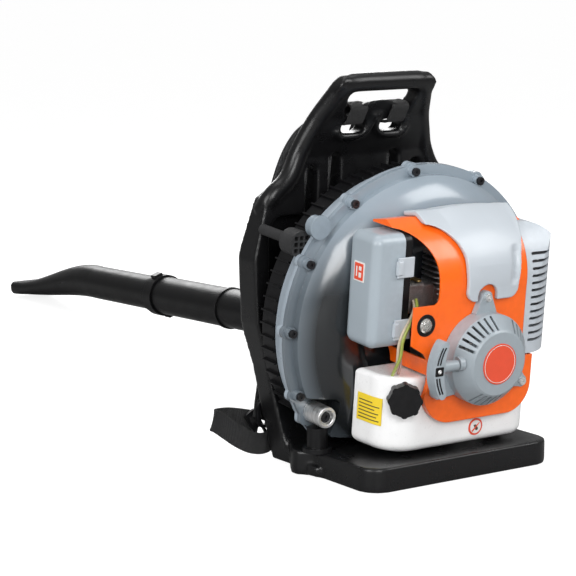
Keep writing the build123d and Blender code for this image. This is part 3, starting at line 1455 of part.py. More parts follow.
with BuildPart() as throttle_grip:
    for height, shift, deep, wide in GRIP_SHAPE:
        level = Plane(
            origin=GRIP_SIDE.from_local_coords((shift, height, 0)), x_dir=(1, 0, 0), z_dir=GRIP_SIDE.y_dir
        )
        with BuildSketch(level):
            Ellipse(wide, deep)
    loft()
    add(tube(GRIP_AT - 26, GRIP_AT + 26, PIPE_R + 5, PIPE_R + 0.2))
    add(tube(GRIP_AT - 27, GRIP_AT + 27, PIPE_R + 0.2, 1), mode=Mode.SUBTRACT)
    with BuildSketch(GRIP_SIDE):
        with Locations((13, 110)):
            Rectangle(42, 56)
        with Locations((-4, 160)):
            Rectangle(16, 14)
    extrude(amount=TRIGGER_HALF + 0.5, both=True, mode=Mode.SUBTRACT)
    with BuildSketch(GRIP_SIDE):
        with Locations(TRIGGER_PIVOT):
            Circle(PIVOT_R + CLEARANCE)
    extrude(amount=9.5, both=True, mode=Mode.SUBTRACT)
    with BuildSketch(GRIP_SIDE.offset(-20)):
        with Locations(CRUISE_PIVOT):
            Circle(PIVOT_R + CLEARANCE)
    extrude(amount=12, mode=Mode.SUBTRACT)
throttle_grip.part.label = "throttle_grip"

with BuildPart() as throttle_trigger:
    with BuildSketch(GRIP_SIDE):
        with BuildLine():
            Polyline((7, 88), (17, 85), (27, 89), (31, 102), (29, 120), (20, 136), (7, 137), close=True)
        make_face()
    extrude(amount=TRIGGER_HALF, both=True)
    fillet(throttle_trigger.edges().filter_by(Axis.X), 1.5)
    with BuildSketch(GRIP_SIDE):
        with Locations(TRIGGER_PIVOT):
            Circle(PIVOT_R)
    extrude(amount=9, both=True)
throttle_trigger.part.label = "throttle_trigger"

with BuildPart() as cruise_lever:
    with BuildSketch(GRIP_SIDE.offset(CRUISE_X)):
        with BuildLine():
            Polyline((-16, 124), (-14, 140), (-16, 172), (-6, 172), (0, 138), (0, 124), close=True)
        make_face()
    extrude(amount=-5)
    fillet(cruise_lever.edges().filter_by(Axis.X), 3)
    with BuildSketch(GRIP_SIDE.offset(CRUISE_X)):
        with Locations(CRUISE_PIVOT):
            Circle(PIVOT_R)
    extrude(amount=6)
cruise_lever.part.label = "cruise_lever"

with BuildPart() as stop_switch:
    with BuildSketch(GRIP_SIDE):
        with Locations((-7.6, 157.4)):
            RectangleRounded(7.6, 7.4, 2)
    extrude(amount=5, both=True)
stop_switch.part.label = "stop_switch"

# ---------------------------------------------------------------- harness, upright
with BuildPart() as back_pad:
    with BuildSketch(front(FRAME_BACK + 1.5)):
        with Locations((0, 245)):
            RectangleRounded(226, 170, 26)
    extrude(amount=-24)
    fillet(back_pad.edges().group_by(Axis.Y)[-1], 8)
back_pad.part.label = "back_pad"

STRAP_W = 42
STRAP_T = 8
with BuildPart() as shoulder_straps:
    for side in (-1, 1):
        with BuildLine() as strap_path:
            Spline((side * 34, 66, 446), (side * 42, 104, 436), (side * 54, 134, 396), (side * 70, 150, 320),
                   (side * 90, 148, 230), (side * 108, 132, 150), (side * 118, 108, 100))
        for step in range(9):
            with BuildSketch(Plane(origin=strap_path.line @ (step / 8), x_dir=(1, 0, 0),
                                   z_dir=strap_path.line % (step / 8))):
                RectangleRounded(STRAP_W, STRAP_T, 3)
        loft()

with BuildPart() as strap_anchors:
    for side in (-1, 1):
        with BuildSketch(front(80)):
            with Locations((side * 141, 56)):
                SlotOverall(38, 22, rotation=90)
                SlotOverall(28, 12, rotation=90, mode=Mode.SUBTRACT)
        extrude(amount=-5)

BUCKLE = (46, 18)
with BuildPart() as strap_buckles:
    for side in (-1, 1):
        with BuildSketch(front(90)):
            with Locations(Location((side * 146, 39, 0), (0, 0, side * 60))):
                RectangleRounded(*BUCKLE, 3)
                with Locations((-10, 0), (10, 0)):
                    RectangleRounded(14, 11, 2, mode=Mode.SUBTRACT)
        extrude(amount=-4)
    add(strap_anchors.part)
strap_buckles.part.label = "strap_buckles"

# each webbing tail is folded back on itself and stands on edge
WEB_T = 2
WEB_W = 28
with BuildPart() as strap_webbing:
    for side, reach, low in ((-1, 212, 22), (1, 150, 20)):
        with BuildSketch(Plane.XY.offset(low)):
            with BuildLine():
                Polyline((side * 134, 100), (side * reach, 100), (side * (reach + 3), 97), (side * (reach - 2), 95),
                         (side * 128, 96), (side * 128, 96 + WEB_T), (side * (reach - 4), 97),
                         (side * 134, 100 - WEB_T), close=True)
            make_face()
        extrude(amount=WEB_W)

with BuildPart() as harness_straps:
    add(shoulder_straps.part)
    add(strap_webbing.part)
harness_straps.part.label = "harness_straps"

# ---------------------------------------------------------------- writing the pieces
for piece in (support_posts, mount_screws, back_pad, harness_straps, strap_buckles):
    export_step(piece.part, f"parts/{piece.part.label}.step")
for piece in (air_cover, air_base, air_clips, air_filter, carburettor, throttle_plate, choke_plate,
              starter_housing, engine_screws, starter_badge, starter_reel, recoil_spring, starter_handle,
              starter_rope, primer_base, primer_bulb, fuel_tank, fuel_cap, fuel_hoses,
              outlet_elbow, bellows_hose, hose_clamp_rear, hose_clamp_front, control_pipe, front_pipe,
              nozzle_pipe, throttle_grip, throttle_trigger, cruise_lever, stop_switch):
    export_step(piece.part.move(LEANING), f"parts/{piece.part.label}.step")
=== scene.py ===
import json
import math

import bmesh
import bpy
from mathutils import Matrix, Vector, noise


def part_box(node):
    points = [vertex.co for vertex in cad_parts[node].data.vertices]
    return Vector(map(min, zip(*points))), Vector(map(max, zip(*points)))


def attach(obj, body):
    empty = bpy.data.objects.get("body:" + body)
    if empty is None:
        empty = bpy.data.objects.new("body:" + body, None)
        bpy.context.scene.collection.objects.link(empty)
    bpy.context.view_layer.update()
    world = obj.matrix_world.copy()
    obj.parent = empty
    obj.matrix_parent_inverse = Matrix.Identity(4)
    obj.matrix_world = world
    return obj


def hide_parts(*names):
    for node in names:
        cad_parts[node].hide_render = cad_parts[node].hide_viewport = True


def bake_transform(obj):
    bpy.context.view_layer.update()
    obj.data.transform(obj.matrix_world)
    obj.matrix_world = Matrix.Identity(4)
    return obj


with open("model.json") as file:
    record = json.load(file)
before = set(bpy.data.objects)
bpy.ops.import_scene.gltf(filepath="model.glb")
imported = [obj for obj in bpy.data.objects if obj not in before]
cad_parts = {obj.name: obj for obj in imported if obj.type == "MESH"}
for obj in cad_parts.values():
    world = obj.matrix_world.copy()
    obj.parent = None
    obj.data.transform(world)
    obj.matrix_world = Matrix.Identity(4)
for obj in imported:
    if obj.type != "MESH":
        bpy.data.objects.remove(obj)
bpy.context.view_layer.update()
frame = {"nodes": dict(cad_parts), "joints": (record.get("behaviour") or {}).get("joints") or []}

# the fan and the engine lean back, away from the wearer, by this angle about the X axis
LEAN = Matrix.Rotation(math.radians(5.4), 3, "X")
FORE = LEAN @ Vector((0, 1, 0))
UPWARD = LEAN @ Vector((0, 0, 1))
LEFTWARD = Vector((-1, 0, 0))
RIGHTWARD = Vector((1, 0, 0))
MM = 0.001


def leaned(x, y, z):
    """A point of the leaning machine, given in its own millimetres."""
    return LEAN @ Vector((x, y, z)) / 1000


# ---------------------------------------------------------------- materials
class Nodes:
    """A material's node tree, with short calls for the nodes used here."""

    def __init__(self, name):
        self.material = bpy.data.materials.new(name)
        self.material.use_nodes = True
        self.tree = self.material.node_tree
        self.shader = self.tree.nodes["Principled BSDF"]
        self.place = self.add("ShaderNodeTexCoord").outputs["Object"]

    def add(self, kind, **settings):
        node = self.tree.nodes.new(kind)
        for key, value in settings.items():
            setattr(node, key, value)
        return node

    def link(self, source, target):
        self.tree.links.new(source, target)

    def noise(self, scale, detail=3.0, stretch=(1, 1, 1)):
        mapping = self.add("ShaderNodeMapping")
        mapping.inputs["Scale"].default_value = stretch
        self.link(self.place, mapping.inputs["Vector"])
        texture = self.add("ShaderNodeTexNoise")
        texture.inputs["Scale"].default_value = scale
        texture.inputs["Detail"].default_value = detail
        self.link(mapping.outputs["Vector"], texture.inputs["Vector"])
        return texture.outputs["Fac"]

    def wave(self, scale, direction, sharp=False):
        texture = self.add("ShaderNodeTexWave", bands_direction=direction)
        texture.inputs["Scale"].default_value = scale
        texture.inputs["Distortion"].default_value = 0.0 if sharp else 0.6
        self.link(self.place, texture.inputs["Vector"])
        return texture.outputs["Fac"]

    def ranged(self, value, low, high, to_low, to_high):
        node = self.add("ShaderNodeMapRange")
        for key, number in (("From Min", low), ("From Max", high), ("To Min", to_low), ("To Max", to_high)):
            node.inputs[key].default_value = number
        self.link(value, node.inputs["Value"])
        return node.outputs["Result"]

    def math(self, operation, a, b):
        node = self.add("ShaderNodeMath", operation=operation)
        for socket, value in zip(node.inputs, (a, b)):
            if isinstance(value, (int, float)):
                socket.default_value = value
            else:
                self.link(value, socket)
        return node.outputs["Value"]

    def mix(self, factor, a, b):
        node = self.add("ShaderNodeMix", data_type="RGBA")
        self.link(factor, node.inputs["Factor"])
        for socket, value in ((node.inputs[6], a), (node.inputs[7], b)):
            if isinstance(value, (tuple, list)):
                socket.default_value = (*value[:3], 1)
            else:
                self.link(value, socket)
        return node.outputs[2]

    def bump(self, height, distance, strength=1.0, soften=0.0):
        node = self.add("ShaderNodeBump")
        node.inputs["Distance"].default_value = distance
        node.inputs["Strength"].default_value = strength
        self.link(height, node.inputs["Height"])
        if soften:
            edge = self.add("ShaderNodeBevel", samples=4)
            edge.inputs["Radius"].default_value = soften
            self.link(edge.outputs["Normal"], node.inputs["Normal"])
        self.link(node.outputs["Normal"], self.shader.inputs["Normal"])

    def set(self, **values):
        for key, value in values.items():
            socket = self.shader.inputs[key.replace("_", " ")]
            if isinstance(value, (int, float)):
                socket.default_value = value
            elif isinstance(value, tuple):
                socket.default_value = (*value[:3], 1)
            else:
                self.link(value, socket)


def shade(colour, factor):
    return tuple(min(1.0, c * factor) for c in colour[:3])


# the fan housing behind the engine, in metres: the fan's middle, the rim of the painted shade and the heights it
# fades over
FAN_X, FAN_Z = 0.012, 0.186
SHADE_OUTSIDE, SHADE_INSIDE = 0.200, 0.176
SHADE_FROM, SHADE_TO = 0.345, 0.235


def moulded(name, colour, rough, grain=1500.0, depth=0.00006, coat=0.0, worn=1.25, soften=0.0008, flow=0.10,
            uneven=0.10, shine=0.5, painted_shade=False):
    """Moulded plastic: fine grain, slow colour drift, paler worn edges; the fan housing can also get painted shade,
    darker low down and near black inside a rim behind the engine.
    """
    n = Nodes(name)
    drift = n.ranged(n.noise(14, 4), 0.3, 0.7, 0, 1)
    base = n.mix(drift, shade(colour, 1 - flow / 2), shade(colour, 1 + flow / 2))
    edges = n.add("ShaderNodeNewGeometry").outputs["Pointiness"]
    wear = n.math("MULTIPLY", n.ranged(edges, 0.52, 0.62, 0, 1), n.ranged(n.noise(120, 5), 0.4, 0.65, 0.2, 0.8))
    base = n.mix(wear, base, shade(colour, worn))
    # painted shade: darker towards the bottom, and near black inside a rim round the fan's middle, where the engine
    # shades the housing
    if painted_shade:
        spot = n.add("ShaderNodeSeparateXYZ")
        n.link(n.place, spot.inputs["Vector"])
        across = n.math("SUBTRACT", spot.outputs["X"], FAN_X)
        rise = n.math("SUBTRACT", spot.outputs["Z"], FAN_Z)
        squares = n.math("ADD", n.math("MULTIPLY", across, across), n.math("MULTIPLY", rise, rise))
        shade_inward = n.ranged(n.math("SQRT", squares, 0.0), SHADE_OUTSIDE, SHADE_INSIDE, 0, 1)
        low = n.ranged(spot.outputs["Z"], SHADE_FROM, SHADE_TO, 0, 1)
        base = n.mix(n.math("MULTIPLY", low, 0.62), base, shade(colour, 0.25))
        base = n.mix(n.math("MULTIPLY", n.math("MULTIPLY", low, shade_inward), 0.97), base, (0.007, 0.008, 0.009))
    smudge = n.ranged(n.noise(45, 5), 0.3, 0.7, rough - uneven * 0.4, rough + uneven * 0.6)
    n.set(Base_Color=base, Roughness=smudge, Specular_IOR_Level=shine, Coat_Weight=coat, Coat_Roughness=0.12)
    n.bump(n.noise(grain, 2), depth, 0.6, soften)
    return n.material


def metal(name, colour, rough, brush=(1, 1, 1), scale=900.0, depth=0.00004, soften=0.0005, grime=0.25):
    """Bare metal: brushing or casting texture, with darker grime in places."""
    n = Nodes(name)
    streak = n.noise(scale, 4, brush)
    base = n.mix(n.ranged(streak, 0.3, 0.7, 0, 1), shade(colour, 0.8), shade(colour, 1.1))
    dirt = n.ranged(n.noise(70, 6), 0.5, 0.8, 0, grime)
    base = n.mix(dirt, base, shade(colour, 0.35))
    n.set(Base_Color=base, Metallic=1.0, Roughness=n.ranged(streak, 0.3, 0.7, rough - 0.07, rough + 0.1))
    n.bump(streak, depth, 0.7, soften)
    return n.material


def woven(name, colour, pitch, sheen=0.4, rough=0.85):
    """Woven webbing or cloth: two crossed sets of threads, with a slightly uneven colour."""
    n = Nodes(name)
    across = n.wave(1 / pitch, "X")
    along = n.wave(1 / pitch, "Z")
    deep = n.wave(1 / pitch, "Y")
    weave = n.math("MULTIPLY", n.math("ADD", across, deep), along)
    drift = n.ranged(n.noise(35, 5), 0.3, 0.7, 0.75, 1.0)
    shadow = n.math("MULTIPLY", n.ranged(weave, 0.1, 1.2, 0.45, 1.0), drift)
    base = n.mix(shadow, shade(colour, 0.3), shade(colour, 1.35))
    n.set(Base_Color=base, Roughness=rough, Sheen_Weight=sheen, Sheen_Roughness=0.4)
    n.bump(weave, pitch * 0.35, 0.9)
    return n.material


def soft_black(name, rough, colour=(0.018, 0.018, 0.019), grain=800.0, depth=0.00012):
    """Rubber: dull black with a fine matt texture and grey bloom."""
    n = Nodes(name)
    bloom = n.ranged(n.noise(40, 6), 0.45, 0.75, 0, 0.35)
    base = n.mix(bloom, colour, shade(colour, 2.2))
    n.set(Base_Color=base, Roughness=n.ranged(n.noise(160, 4), 0.3, 0.7, rough - 0.05, rough + 0.1))
    n.bump(n.noise(grain, 3), depth, 0.6, 0.0006)
    return n.material


def translucent(name, colour, rough, transmission, subsurface=0.0):
    """Milky or clear plastic that passes some light."""
    n = Nodes(name)
    base = n.mix(n.ranged(n.noise(25, 4), 0.3, 0.7, 0, 1), shade(colour, 0.93), colour)
    n.set(Base_Color=base, Roughness=n.ranged(n.noise(300, 3), 0.3, 0.7, rough - 0.04, rough + 0.06),
          Transmission_Weight=transmission, Subsurface_Weight=subsurface)
    n.shader.inputs["Subsurface Radius"].default_value = (0.01, 0.01, 0.01)
    n.shader.inputs["Subsurface Scale"].default_value = 0.6
    n.bump(n.noise(1100, 2), 0.00005, 0.5, 0.001)
    return n.material


BLACK = moulded("black_plastic", (0.005, 0.005, 0.0055), 0.29, grain=1300, depth=0.00012, worn=2.0, soften=0.0016,
                shine=0.38)
BLACK_FINE = moulded("black_fine", (0.004, 0.004, 0.0045), 0.34, worn=2.0, shine=0.28)
# the front housing gets painted shade behind the engine
HOUSING = moulded("housing_blue_grey", (0.25, 0.30, 0.345), 0.22, coat=0.5, flow=0.03, worn=1.12, uneven=0.02,
                  painted_shade=True)
HOUSING_REAR = moulded("housing_grey", (0.30, 0.35, 0.40), 0.28, coat=0.4, flow=0.04, worn=1.12, uneven=0.03)
GUARD = moulded("pale_grey", (0.46, 0.50, 0.54), 0.34, coat=0.15, flow=0.05, worn=1.1)
GREY = moulded("mid_grey", (0.29, 0.33, 0.36), 0.36, coat=0.1, flow=0.06, worn=1.2)
BOX_GREY = moulded("box_grey", (0.33, 0.38, 0.42), 0.36, coat=0.15, flow=0.06, worn=1.2)
ORANGE = moulded("cover_orange", (0.90, 0.125, 0.002), 0.32, coat=0.30, flow=0.05, worn=1.12, soften=0.0016)
DISC_RED = moulded("disc_red", (0.72, 0.075, 0.03), 0.38, flow=0.05, worn=1.1)
PALE_RING = moulded("pale_ring", (0.7, 0.66, 0.6), 0.45, flow=0.05, worn=1.0)
LABEL_YELLOW = moulded("label_yellow", (0.85, 0.62, 0.03), 0.42, flow=0.05, worn=1.0, depth=0.00003)
LABEL_DARK = moulded("label_dark", (0.06, 0.05, 0.03), 0.5, flow=0.05, worn=1.0, depth=0.00003)
LABEL_WHITE = moulded("label_white", (0.75, 0.74, 0.72), 0.42, flow=0.04, worn=1.0, depth=0.00003)
STEEL = metal("turned_steel", (0.92, 0.92, 0.91), 0.38, brush=(1, 9, 1), scale=60, depth=0.00001, grime=0.08)
DARK_STEEL = metal("black_oxide", (0.06, 0.06, 0.065), 0.38, scale=600)
CAST = metal("cast_alloy", (0.55, 0.55, 0.55), 0.5, scale=500, depth=0.0002)
HOT_STEEL = metal("muffler_steel", (0.42, 0.36, 0.3), 0.45, scale=300, grime=0.5)
BRASS = metal("jet_brass", (0.6, 0.42, 0.16), 0.35)
RUBBER = soft_black("black_rubber", 0.62)
BELLOWS = soft_black("bellows_rubber", 0.5, (0.02, 0.02, 0.021))
TANK = translucent("tank_white", (0.90, 0.90, 0.90), 0.30, 0.0, subsurface=0.25)
HOSE = translucent("hose_tan", (0.60, 0.50, 0.38), 0.3, 0.15, subsurface=0.2)
HOSE_PINK = translucent("hose_pink", (0.55, 0.33, 0.29), 0.3, 0.15, subsurface=0.2)
HOSE_GREEN = translucent("hose_green", (0.36, 0.42, 0.08), 0.3, 0.15, subsurface=0.2)
BULB = translucent("bulb_clear", (0.85, 0.84, 0.8), 0.12, 0.75)
CERAMIC = moulded("plug_white", (0.8, 0.8, 0.78), 0.2, coat=0.4, worn=1.0)
FELT = woven("filter_felt", (0.5, 0.46, 0.33), 0.0012)
CORD = woven("starter_cord", (0.55, 0.55, 0.5), 0.0009)
WEBBING = woven("webbing_black", (0.012, 0.012, 0.013), 0.0016, sheen=0.1)
MESH_CLOTH = woven("pad_mesh", (0.04, 0.04, 0.044), 0.0022, sheen=0.35)
BINDING = woven("binding_black", (0.018, 0.018, 0.019), 0.0011, sheen=0.15)
THREAD = woven("stitch_thread", (0.14, 0.14, 0.15), 0.0005)

FINISH = {
    BLACK: ["back_frame"],
    BLACK_FINE: ["fuel_cap", "stop_switch", "throttle_grip", "throttle_trigger", "cruise_lever", "primer_base",
                 "strap_buckles", "outlet_elbow", "control_pipe", "front_pipe", "nozzle_pipe", "impeller",
                 "air_base", "choke_plate", "intake_guard", "support_posts"],
    HOUSING: ["fan_housing_front"],
    HOUSING_REAR: ["fan_housing_rear"],
    GUARD: ["top_cap", "muffler_guard", "air_clips"],
    BOX_GREY: ["air_cover"],
    GREY: ["starter_housing", "starter_handle", "starter_reel"],
    ORANGE: ["engine_cover"],
    DISC_RED: ["starter_badge"],
    STEEL: ["vibration_sleeves", "crank_bearings", "crankshaft", "piston_pin", "recoil_spring", "starter_cup",
            "hose_clamp_rear", "hose_clamp_front", "engine_screws"],
    DARK_STEEL: ["mount_screws", "housing_screws", "ignition_coil"],
    CAST: ["crankcase_rear", "crankcase_front", "connecting_rod", "piston", "cylinder", "flywheel", "carburettor"],
    HOT_STEEL: ["muffler"],
    BRASS: ["throttle_plate"],
    TANK: ["fuel_tank"],
    HOSE: ["fuel_hoses"],
    BULB: ["primer_bulb"],
    RUBBER: ["rear_mount", "plug_cap", "bellows_hose"],
    CERAMIC: ["spark_plug"],
    FELT: ["air_filter"],
    CORD: ["starter_rope"],
    WEBBING: ["harness_straps"],
    MESH_CLOTH: ["back_pad"],
}
for material, names in FINISH.items():
    for name in names:
        mesh = frame["nodes"][name].data
        mesh.materials.clear()
        mesh.materials.append(material)


# ---------------------------------------------------------------- mesh helpers
def piece(name, vertices, faces, material, smooth=True):
    """A mesh object from plain vertex and face lists."""
    mesh = bpy.data.meshes.new(name)
    mesh.from_pydata([tuple(v) for v in vertices], [], faces)
    mesh.validate()
    mesh.materials.append(material)
    for polygon in mesh.polygons:
        polygon.use_smooth = smooth
    made = bpy.data.objects.new(name, mesh)
    bpy.context.scene.collection.objects.link(made)
    return made


def belongs(made, body, replaced=None):
    """Hangs a piece on the body it rides on and, where it has one, hides the CAD piece it stands in for."""
    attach(made, body)
    if replaced:
        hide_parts(replaced)


def face_outwards(made):
    bm = bmesh.new()
    bm.from_mesh(made.data)
    bmesh.ops.recalc_face_normals(bm, faces=bm.faces)
    bm.to_mesh(made.data)
    bm.free()


def stacked(rows, count):
    """Faces of a body made of rows of count points each, closed at both ends."""
    faces = []
    for row in range(rows - 1):
        for k in range(count):
            a, b = row * count + k, row * count + (k + 1) % count
            faces.append((a, b, b + count, a + count))
    faces.append(tuple(range(count))[::-1])
    faces.append(tuple(range((rows - 1) * count, rows * count)))
    return faces


def cushion(columns, rows):
    """Faces of a back grid of points and a front one, joined round the rim."""
    across = columns + 1
    count = across * (rows + 1)
    faces = []
    for row in range(rows):
        for column in range(columns):
            a = row * across + column
            faces.append((a, a + across, a + 1 + across, a + 1))
            faces.append((count + a, count + a + 1, count + a + 1 + across, count + a + across))
    rim = (list(range(columns)) + [columns + row * across for row in range(rows)]
           + [rows * across + columns - k for k in range(columns)] + [(rows - k) * across for k in range(rows)])
    for k, a in enumerate(rim):
        b = rim[(k + 1) % len(rim)]
        faces.append((a, b, b + count, a + count))
    return faces


def smooth_path(points, steps):
    """Catmull-Rom points through the given ones."""
    points = [Vector(p) for p in points]
    ends = [2 * points[0] - points[1], *points, 2 * points[-1] - points[-2]]
    path = []
    for a, b, c, d in zip(ends, ends[1:], ends[2:], ends[3:]):
        for step in range(steps):
            t = step / steps
            path.append(0.5 * (2 * b + (c - a) * t + (2 * a - 5 * b + 4 * c - d) * t ** 2
                               + (3 * b - a - 3 * c + d) * t ** 3))
    path.append(points[-1])
    return path


def ribbon(name, path, wide_axis, section, material):
    """A closed strap along a path: section(t) gives its outline as (across, out) pairs at t from 0 to 1."""
    vertices = []
    wide_axis = Vector(wide_axis).normalized()
    for index, point in enumerate(path):
        ahead = path[min(index + 1, len(path) - 1)] - path[max(index - 1, 0)]
        out = wide_axis.cross(ahead).normalized()
        across = ahead.cross(out).normalized()
        vertices += [point + across * a + out * o for a, o in section(index / (len(path) - 1))]
    return piece(name, vertices, stacked(len(path), len(section(0))), material)


def oval(wide, thick, count=16, power=0.55):
    """A rounded flat section, wide by thick."""
    outline = []
    for k in range(count):
        angle = 2 * math.pi * (k + 0.5) / count
        c, s = math.cos(angle), math.sin(angle)
        outline.append((math.copysign(abs(c) ** power, c) * wide / 2,
                        math.copysign(abs(s) ** power, s) * thick / 2))
    return outline


def turned(name, profile, origin, direction, material, count=64):
    """A solid of revolution from (radius, along) pairs round an axis; the profile is a closed loop."""
    direction = Vector(direction).normalized()
    side = direction.orthogonal().normalized()
    other = direction.cross(side)
    vertices, faces = [], []
    for k in range(count):
        angle = 2 * math.pi * k / count
        radial = side * math.cos(angle) + other * math.sin(angle)
        vertices += [Vector(origin) + radial * r + direction * a for r, a in profile]
    rows = len(profile)
    for k in range(count):
        for i in range(rows):
            a, b = k * rows + i, k * rows + (i + 1) % rows
            c, d = ((k + 1) % count) * rows + (i + 1) % rows, ((k + 1) % count) * rows + i
            faces.append((a, b, c, d))
    return piece(name, vertices, faces, material)


def apply_modifier(made, kind, **settings):
    """Adds a modifier, called after its kind, and makes its result the piece's own mesh."""
    modifier = made.modifiers.new(kind.lower(), kind)
    for key, value in settings.items():
        setattr(modifier, key, value)
    bpy.context.view_layer.objects.active = made
    bpy.ops.object.modifier_apply(modifier=modifier.name)


def rounded_copy(name, node, material, voxel, rounds, keep, extra=()):
    """A copy of a CAD piece with its sharp edges rounded over, and extra pieces moulded into it."""
    source = frame["nodes"][node]
    bm = bmesh.new()
    bm.from_mesh(source.data)
    bmesh.ops.transform(bm, matrix=source.matrix_world, verts=bm.verts)
    for part in extra:
        bm.from_mesh(part.data)
    mesh = bpy.data.meshes.new(name)
    bm.to_mesh(mesh)
    bm.free()
    mesh.materials.clear()
    mesh.materials.append(material)
    made = bpy.data.objects.new(name, mesh)
    bpy.context.scene.collection.objects.link(made)
    apply_modifier(made, "REMESH", mode="VOXEL", voxel_size=voxel)
    apply_modifier(made, "SMOOTH", factor=0.5, iterations=rounds)
    apply_modifier(made, "DECIMATE", ratio=keep)
    for polygon in mesh.polygons:
        polygon.use_smooth = True
    for part in extra:
        bpy.data.objects.remove(part)
    return made


# ---------------------------------------------------------------- flat labels
def label(name, centre, right, up, size, radius, material, body, lift=0.0003):
    """A thin rounded plate lying on a face; centre, right and up are in the shared frame."""
    right, up = Vector(right).normalized(), Vector(up).normalized()
    outwards = right.cross(up)
    outline = []
    half_w, half_h = size[0] / 2 - radius, size[1] / 2 - radius
    for sx, sy, start in ((1, 1, 0), (-1, 1, 90), (-1, -1, 180), (1, -1, 270)):
        for k in range(7):
            angle = math.radians(start + 15 * k)
            outline.append((sx * half_w + radius * math.cos(angle), sy * half_h + radius * math.sin(angle)))
    rings = []
    for grow, out in ((1.0, -0.0002), (1.0, lift), (0.985, lift + 0.0001)):
        rings.append([Vector(centre) + right * x * grow + up * y * grow + outwards * out for x, y in outline])
    vertices = [v for ring in rings for v in ring]
    belongs(piece(name, vertices, stacked(len(rings), len(outline)), material, smooth=False), body)


# plate on the side of the air box: pale border, red field and a plain pictogram of bars
plate_at = leaned(-130.2, -89, 283.5)
PLATE_BARS = ((0.0028, 0.0045, 0.005, 0.0052), (0.0028, -0.004, 0.005, 0.0064), (-0.0042, 0.0, 0.0022, 0.013))
label("plate_border", plate_at, -FORE, UPWARD, (0.0215, 0.0255), 0.0015, LABEL_WHITE, "air_door")
label("plate_field", plate_at + LEFTWARD * 0.0005, -FORE, UPWARD, (0.0175, 0.0215), 0.0008, DISC_RED, "air_door")
for index, (across, rise, wide, tall) in enumerate(PLATE_BARS):
    label(f"plate_bar_{index}", plate_at + LEFTWARD * 0.0009 - FORE * across + UPWARD * rise, -FORE, UPWARD,
          (wide, tall), 0.0006, LABEL_WHITE, "air_door", lift=0.0002)

# round mark on the front of the tank: red ring, a plain dark drop and a red bar across it
mark_at = leaned(37, -138.2, 72)
label("mark_ring", mark_at, RIGHTWARD, UPWARD, (0.023, 0.023), 0.0114, DISC_RED, "machine")
label("mark_field", mark_at - FORE * 0.0004, RIGHTWARD, UPWARD, (0.0178, 0.0178), 0.0088, LABEL_WHITE, "machine")
label("mark_drop", mark_at - FORE * 0.0008, (1, 0, 0.6), (-0.6, 0, 1), (0.0042, 0.0100), 0.0020, LABEL_DARK,
      "machine", lift=0.0002)
label("mark_bar", mark_at - FORE * 0.0010, (1, 0, 0.9), (-0.9, 0, 1), (0.0165, 0.0017), 0.0008, DISC_RED,
      "machine", lift=0.0002)

# black inlays and the steel screw on the face of the pull handle; lengths in millimetres
HANDLE_X = -69
HANDLE_FACE = -187.1
STARTER_HEIGHT = 172
INLAY_STEPS = 12
for run, (start, stop) in enumerate(((8.5, 30), (-8.5, -30))):
    for line, offset in enumerate((3.6, 7.8)):
        stripe = []
        for step in range(INLAY_STEPS + 1):
            rise = start + (stop - start) * step / INLAY_STEPS
            edge = HANDLE_X - 9 + 11 * (rise / 35) ** 2
            stripe.append(leaned(edge + offset, HANDLE_FACE, STARTER_HEIGHT + rise))
        inlay = ribbon(f"handle_inlay_{run}_{line}", stripe, FORE, lambda t: oval(0.0009, 0.0021, 12, 0.6),
                       BLACK_FINE)
        belongs(inlay, "pull")
label("handle_block", leaned(HANDLE_X - 1.2, -187.0, STARTER_HEIGHT), RIGHTWARD, UPWARD, (0.0125, 0.0115), 0.0012,
      BLACK_FINE, "pull", lift=0.0005)
SCREW_OUTLINE = [(0.0001, 0.0), (0.0028, 0.0), (0.0028, 0.0008), (0.0022, 0.0013), (0.0009, 0.0014),
                 (0.0008, 0.0008), (0.0001, 0.0008)]
screw = turned("handle_screw", SCREW_OUTLINE, leaned(HANDLE_X - 1.2, -187.3, STARTER_HEIGHT), -FORE, STEEL, 24)
belongs(screw, "pull")

# thin pale ring printed near the rim of the starter's round badge
badge_centre = leaned(24, -191.25, STARTER_HEIGHT)
RING_OUTLINE = [(0.0240, -0.0001), (0.0247, -0.0001), (0.0247, 0.0002), (0.0240, 0.0002)]
belongs(turned("badge_ring", RING_OUTLINE, badge_centre, -FORE, LABEL_WHITE, 96), "machine")


def tank_skin(distance):
    """A point of the tank's left wall and front left corner, in millimetres seen from above."""
    wall, corner, front = Vector((-104, -92)), Vector((-91, -124)), Vector((-58, -138))
    if distance <= 0:
        return wall.lerp(Vector((-107, -64)), -distance / 28)
    t = min(distance / 56, 1)
    control = 2 * corner - (wall + front) / 2
    return (1 - t) ** 2 * wall + 2 * t * (1 - t) * control + t ** 2 * front


def wrapped_label(name, start, stop, low, high, off, material, steps=24):
    """A printed label that follows the tank's wall round its corner."""
    vertices, faces = [], []
    for step in range(steps + 1):
        distance = start + (stop - start) * step / steps
        flat = tank_skin(distance)
        along = (tank_skin(distance + 0.5) - flat).normalized()
        outward = Vector((along.y, -along.x))
        if outward.x > 0:
            outward = -outward
        for height in (low, high):
            for lift in (off - 0.25, off):
                spot = flat + outward * lift
                vertices.append(leaned(spot.x, spot.y, height))
    for step in range(steps):
        a, b = step * 4, step * 4 + 4
        for i, j in ((0, 1), (1, 3), (3, 2), (2, 0)):
            faces.append((a + i, a + j, b + j, b + i))
    faces.append((0, 2, 3, 1))
    end = steps * 4
    faces.append((end, end + 1, end + 3, end + 2))
    made = piece(name, vertices, faces, material)
    face_outwards(made)
    for polygon in made.data.polygons:
        polygon.use_smooth = False
    belongs(made, "machine")


wrapped_label("tank_label", -20, 17, 84, 120, 0.9, LABEL_YELLOW)
RULE_PITCH = 4.6
for index, shorter in enumerate((0, 3, 1, 6, 0, 9)):
    wrapped_label(f"tank_label_rule_{index}", -17, 14 - shorter, 88 + index * RULE_PITCH, 89.3 + index * RULE_PITCH,
                  1.1, LABEL_DARK)


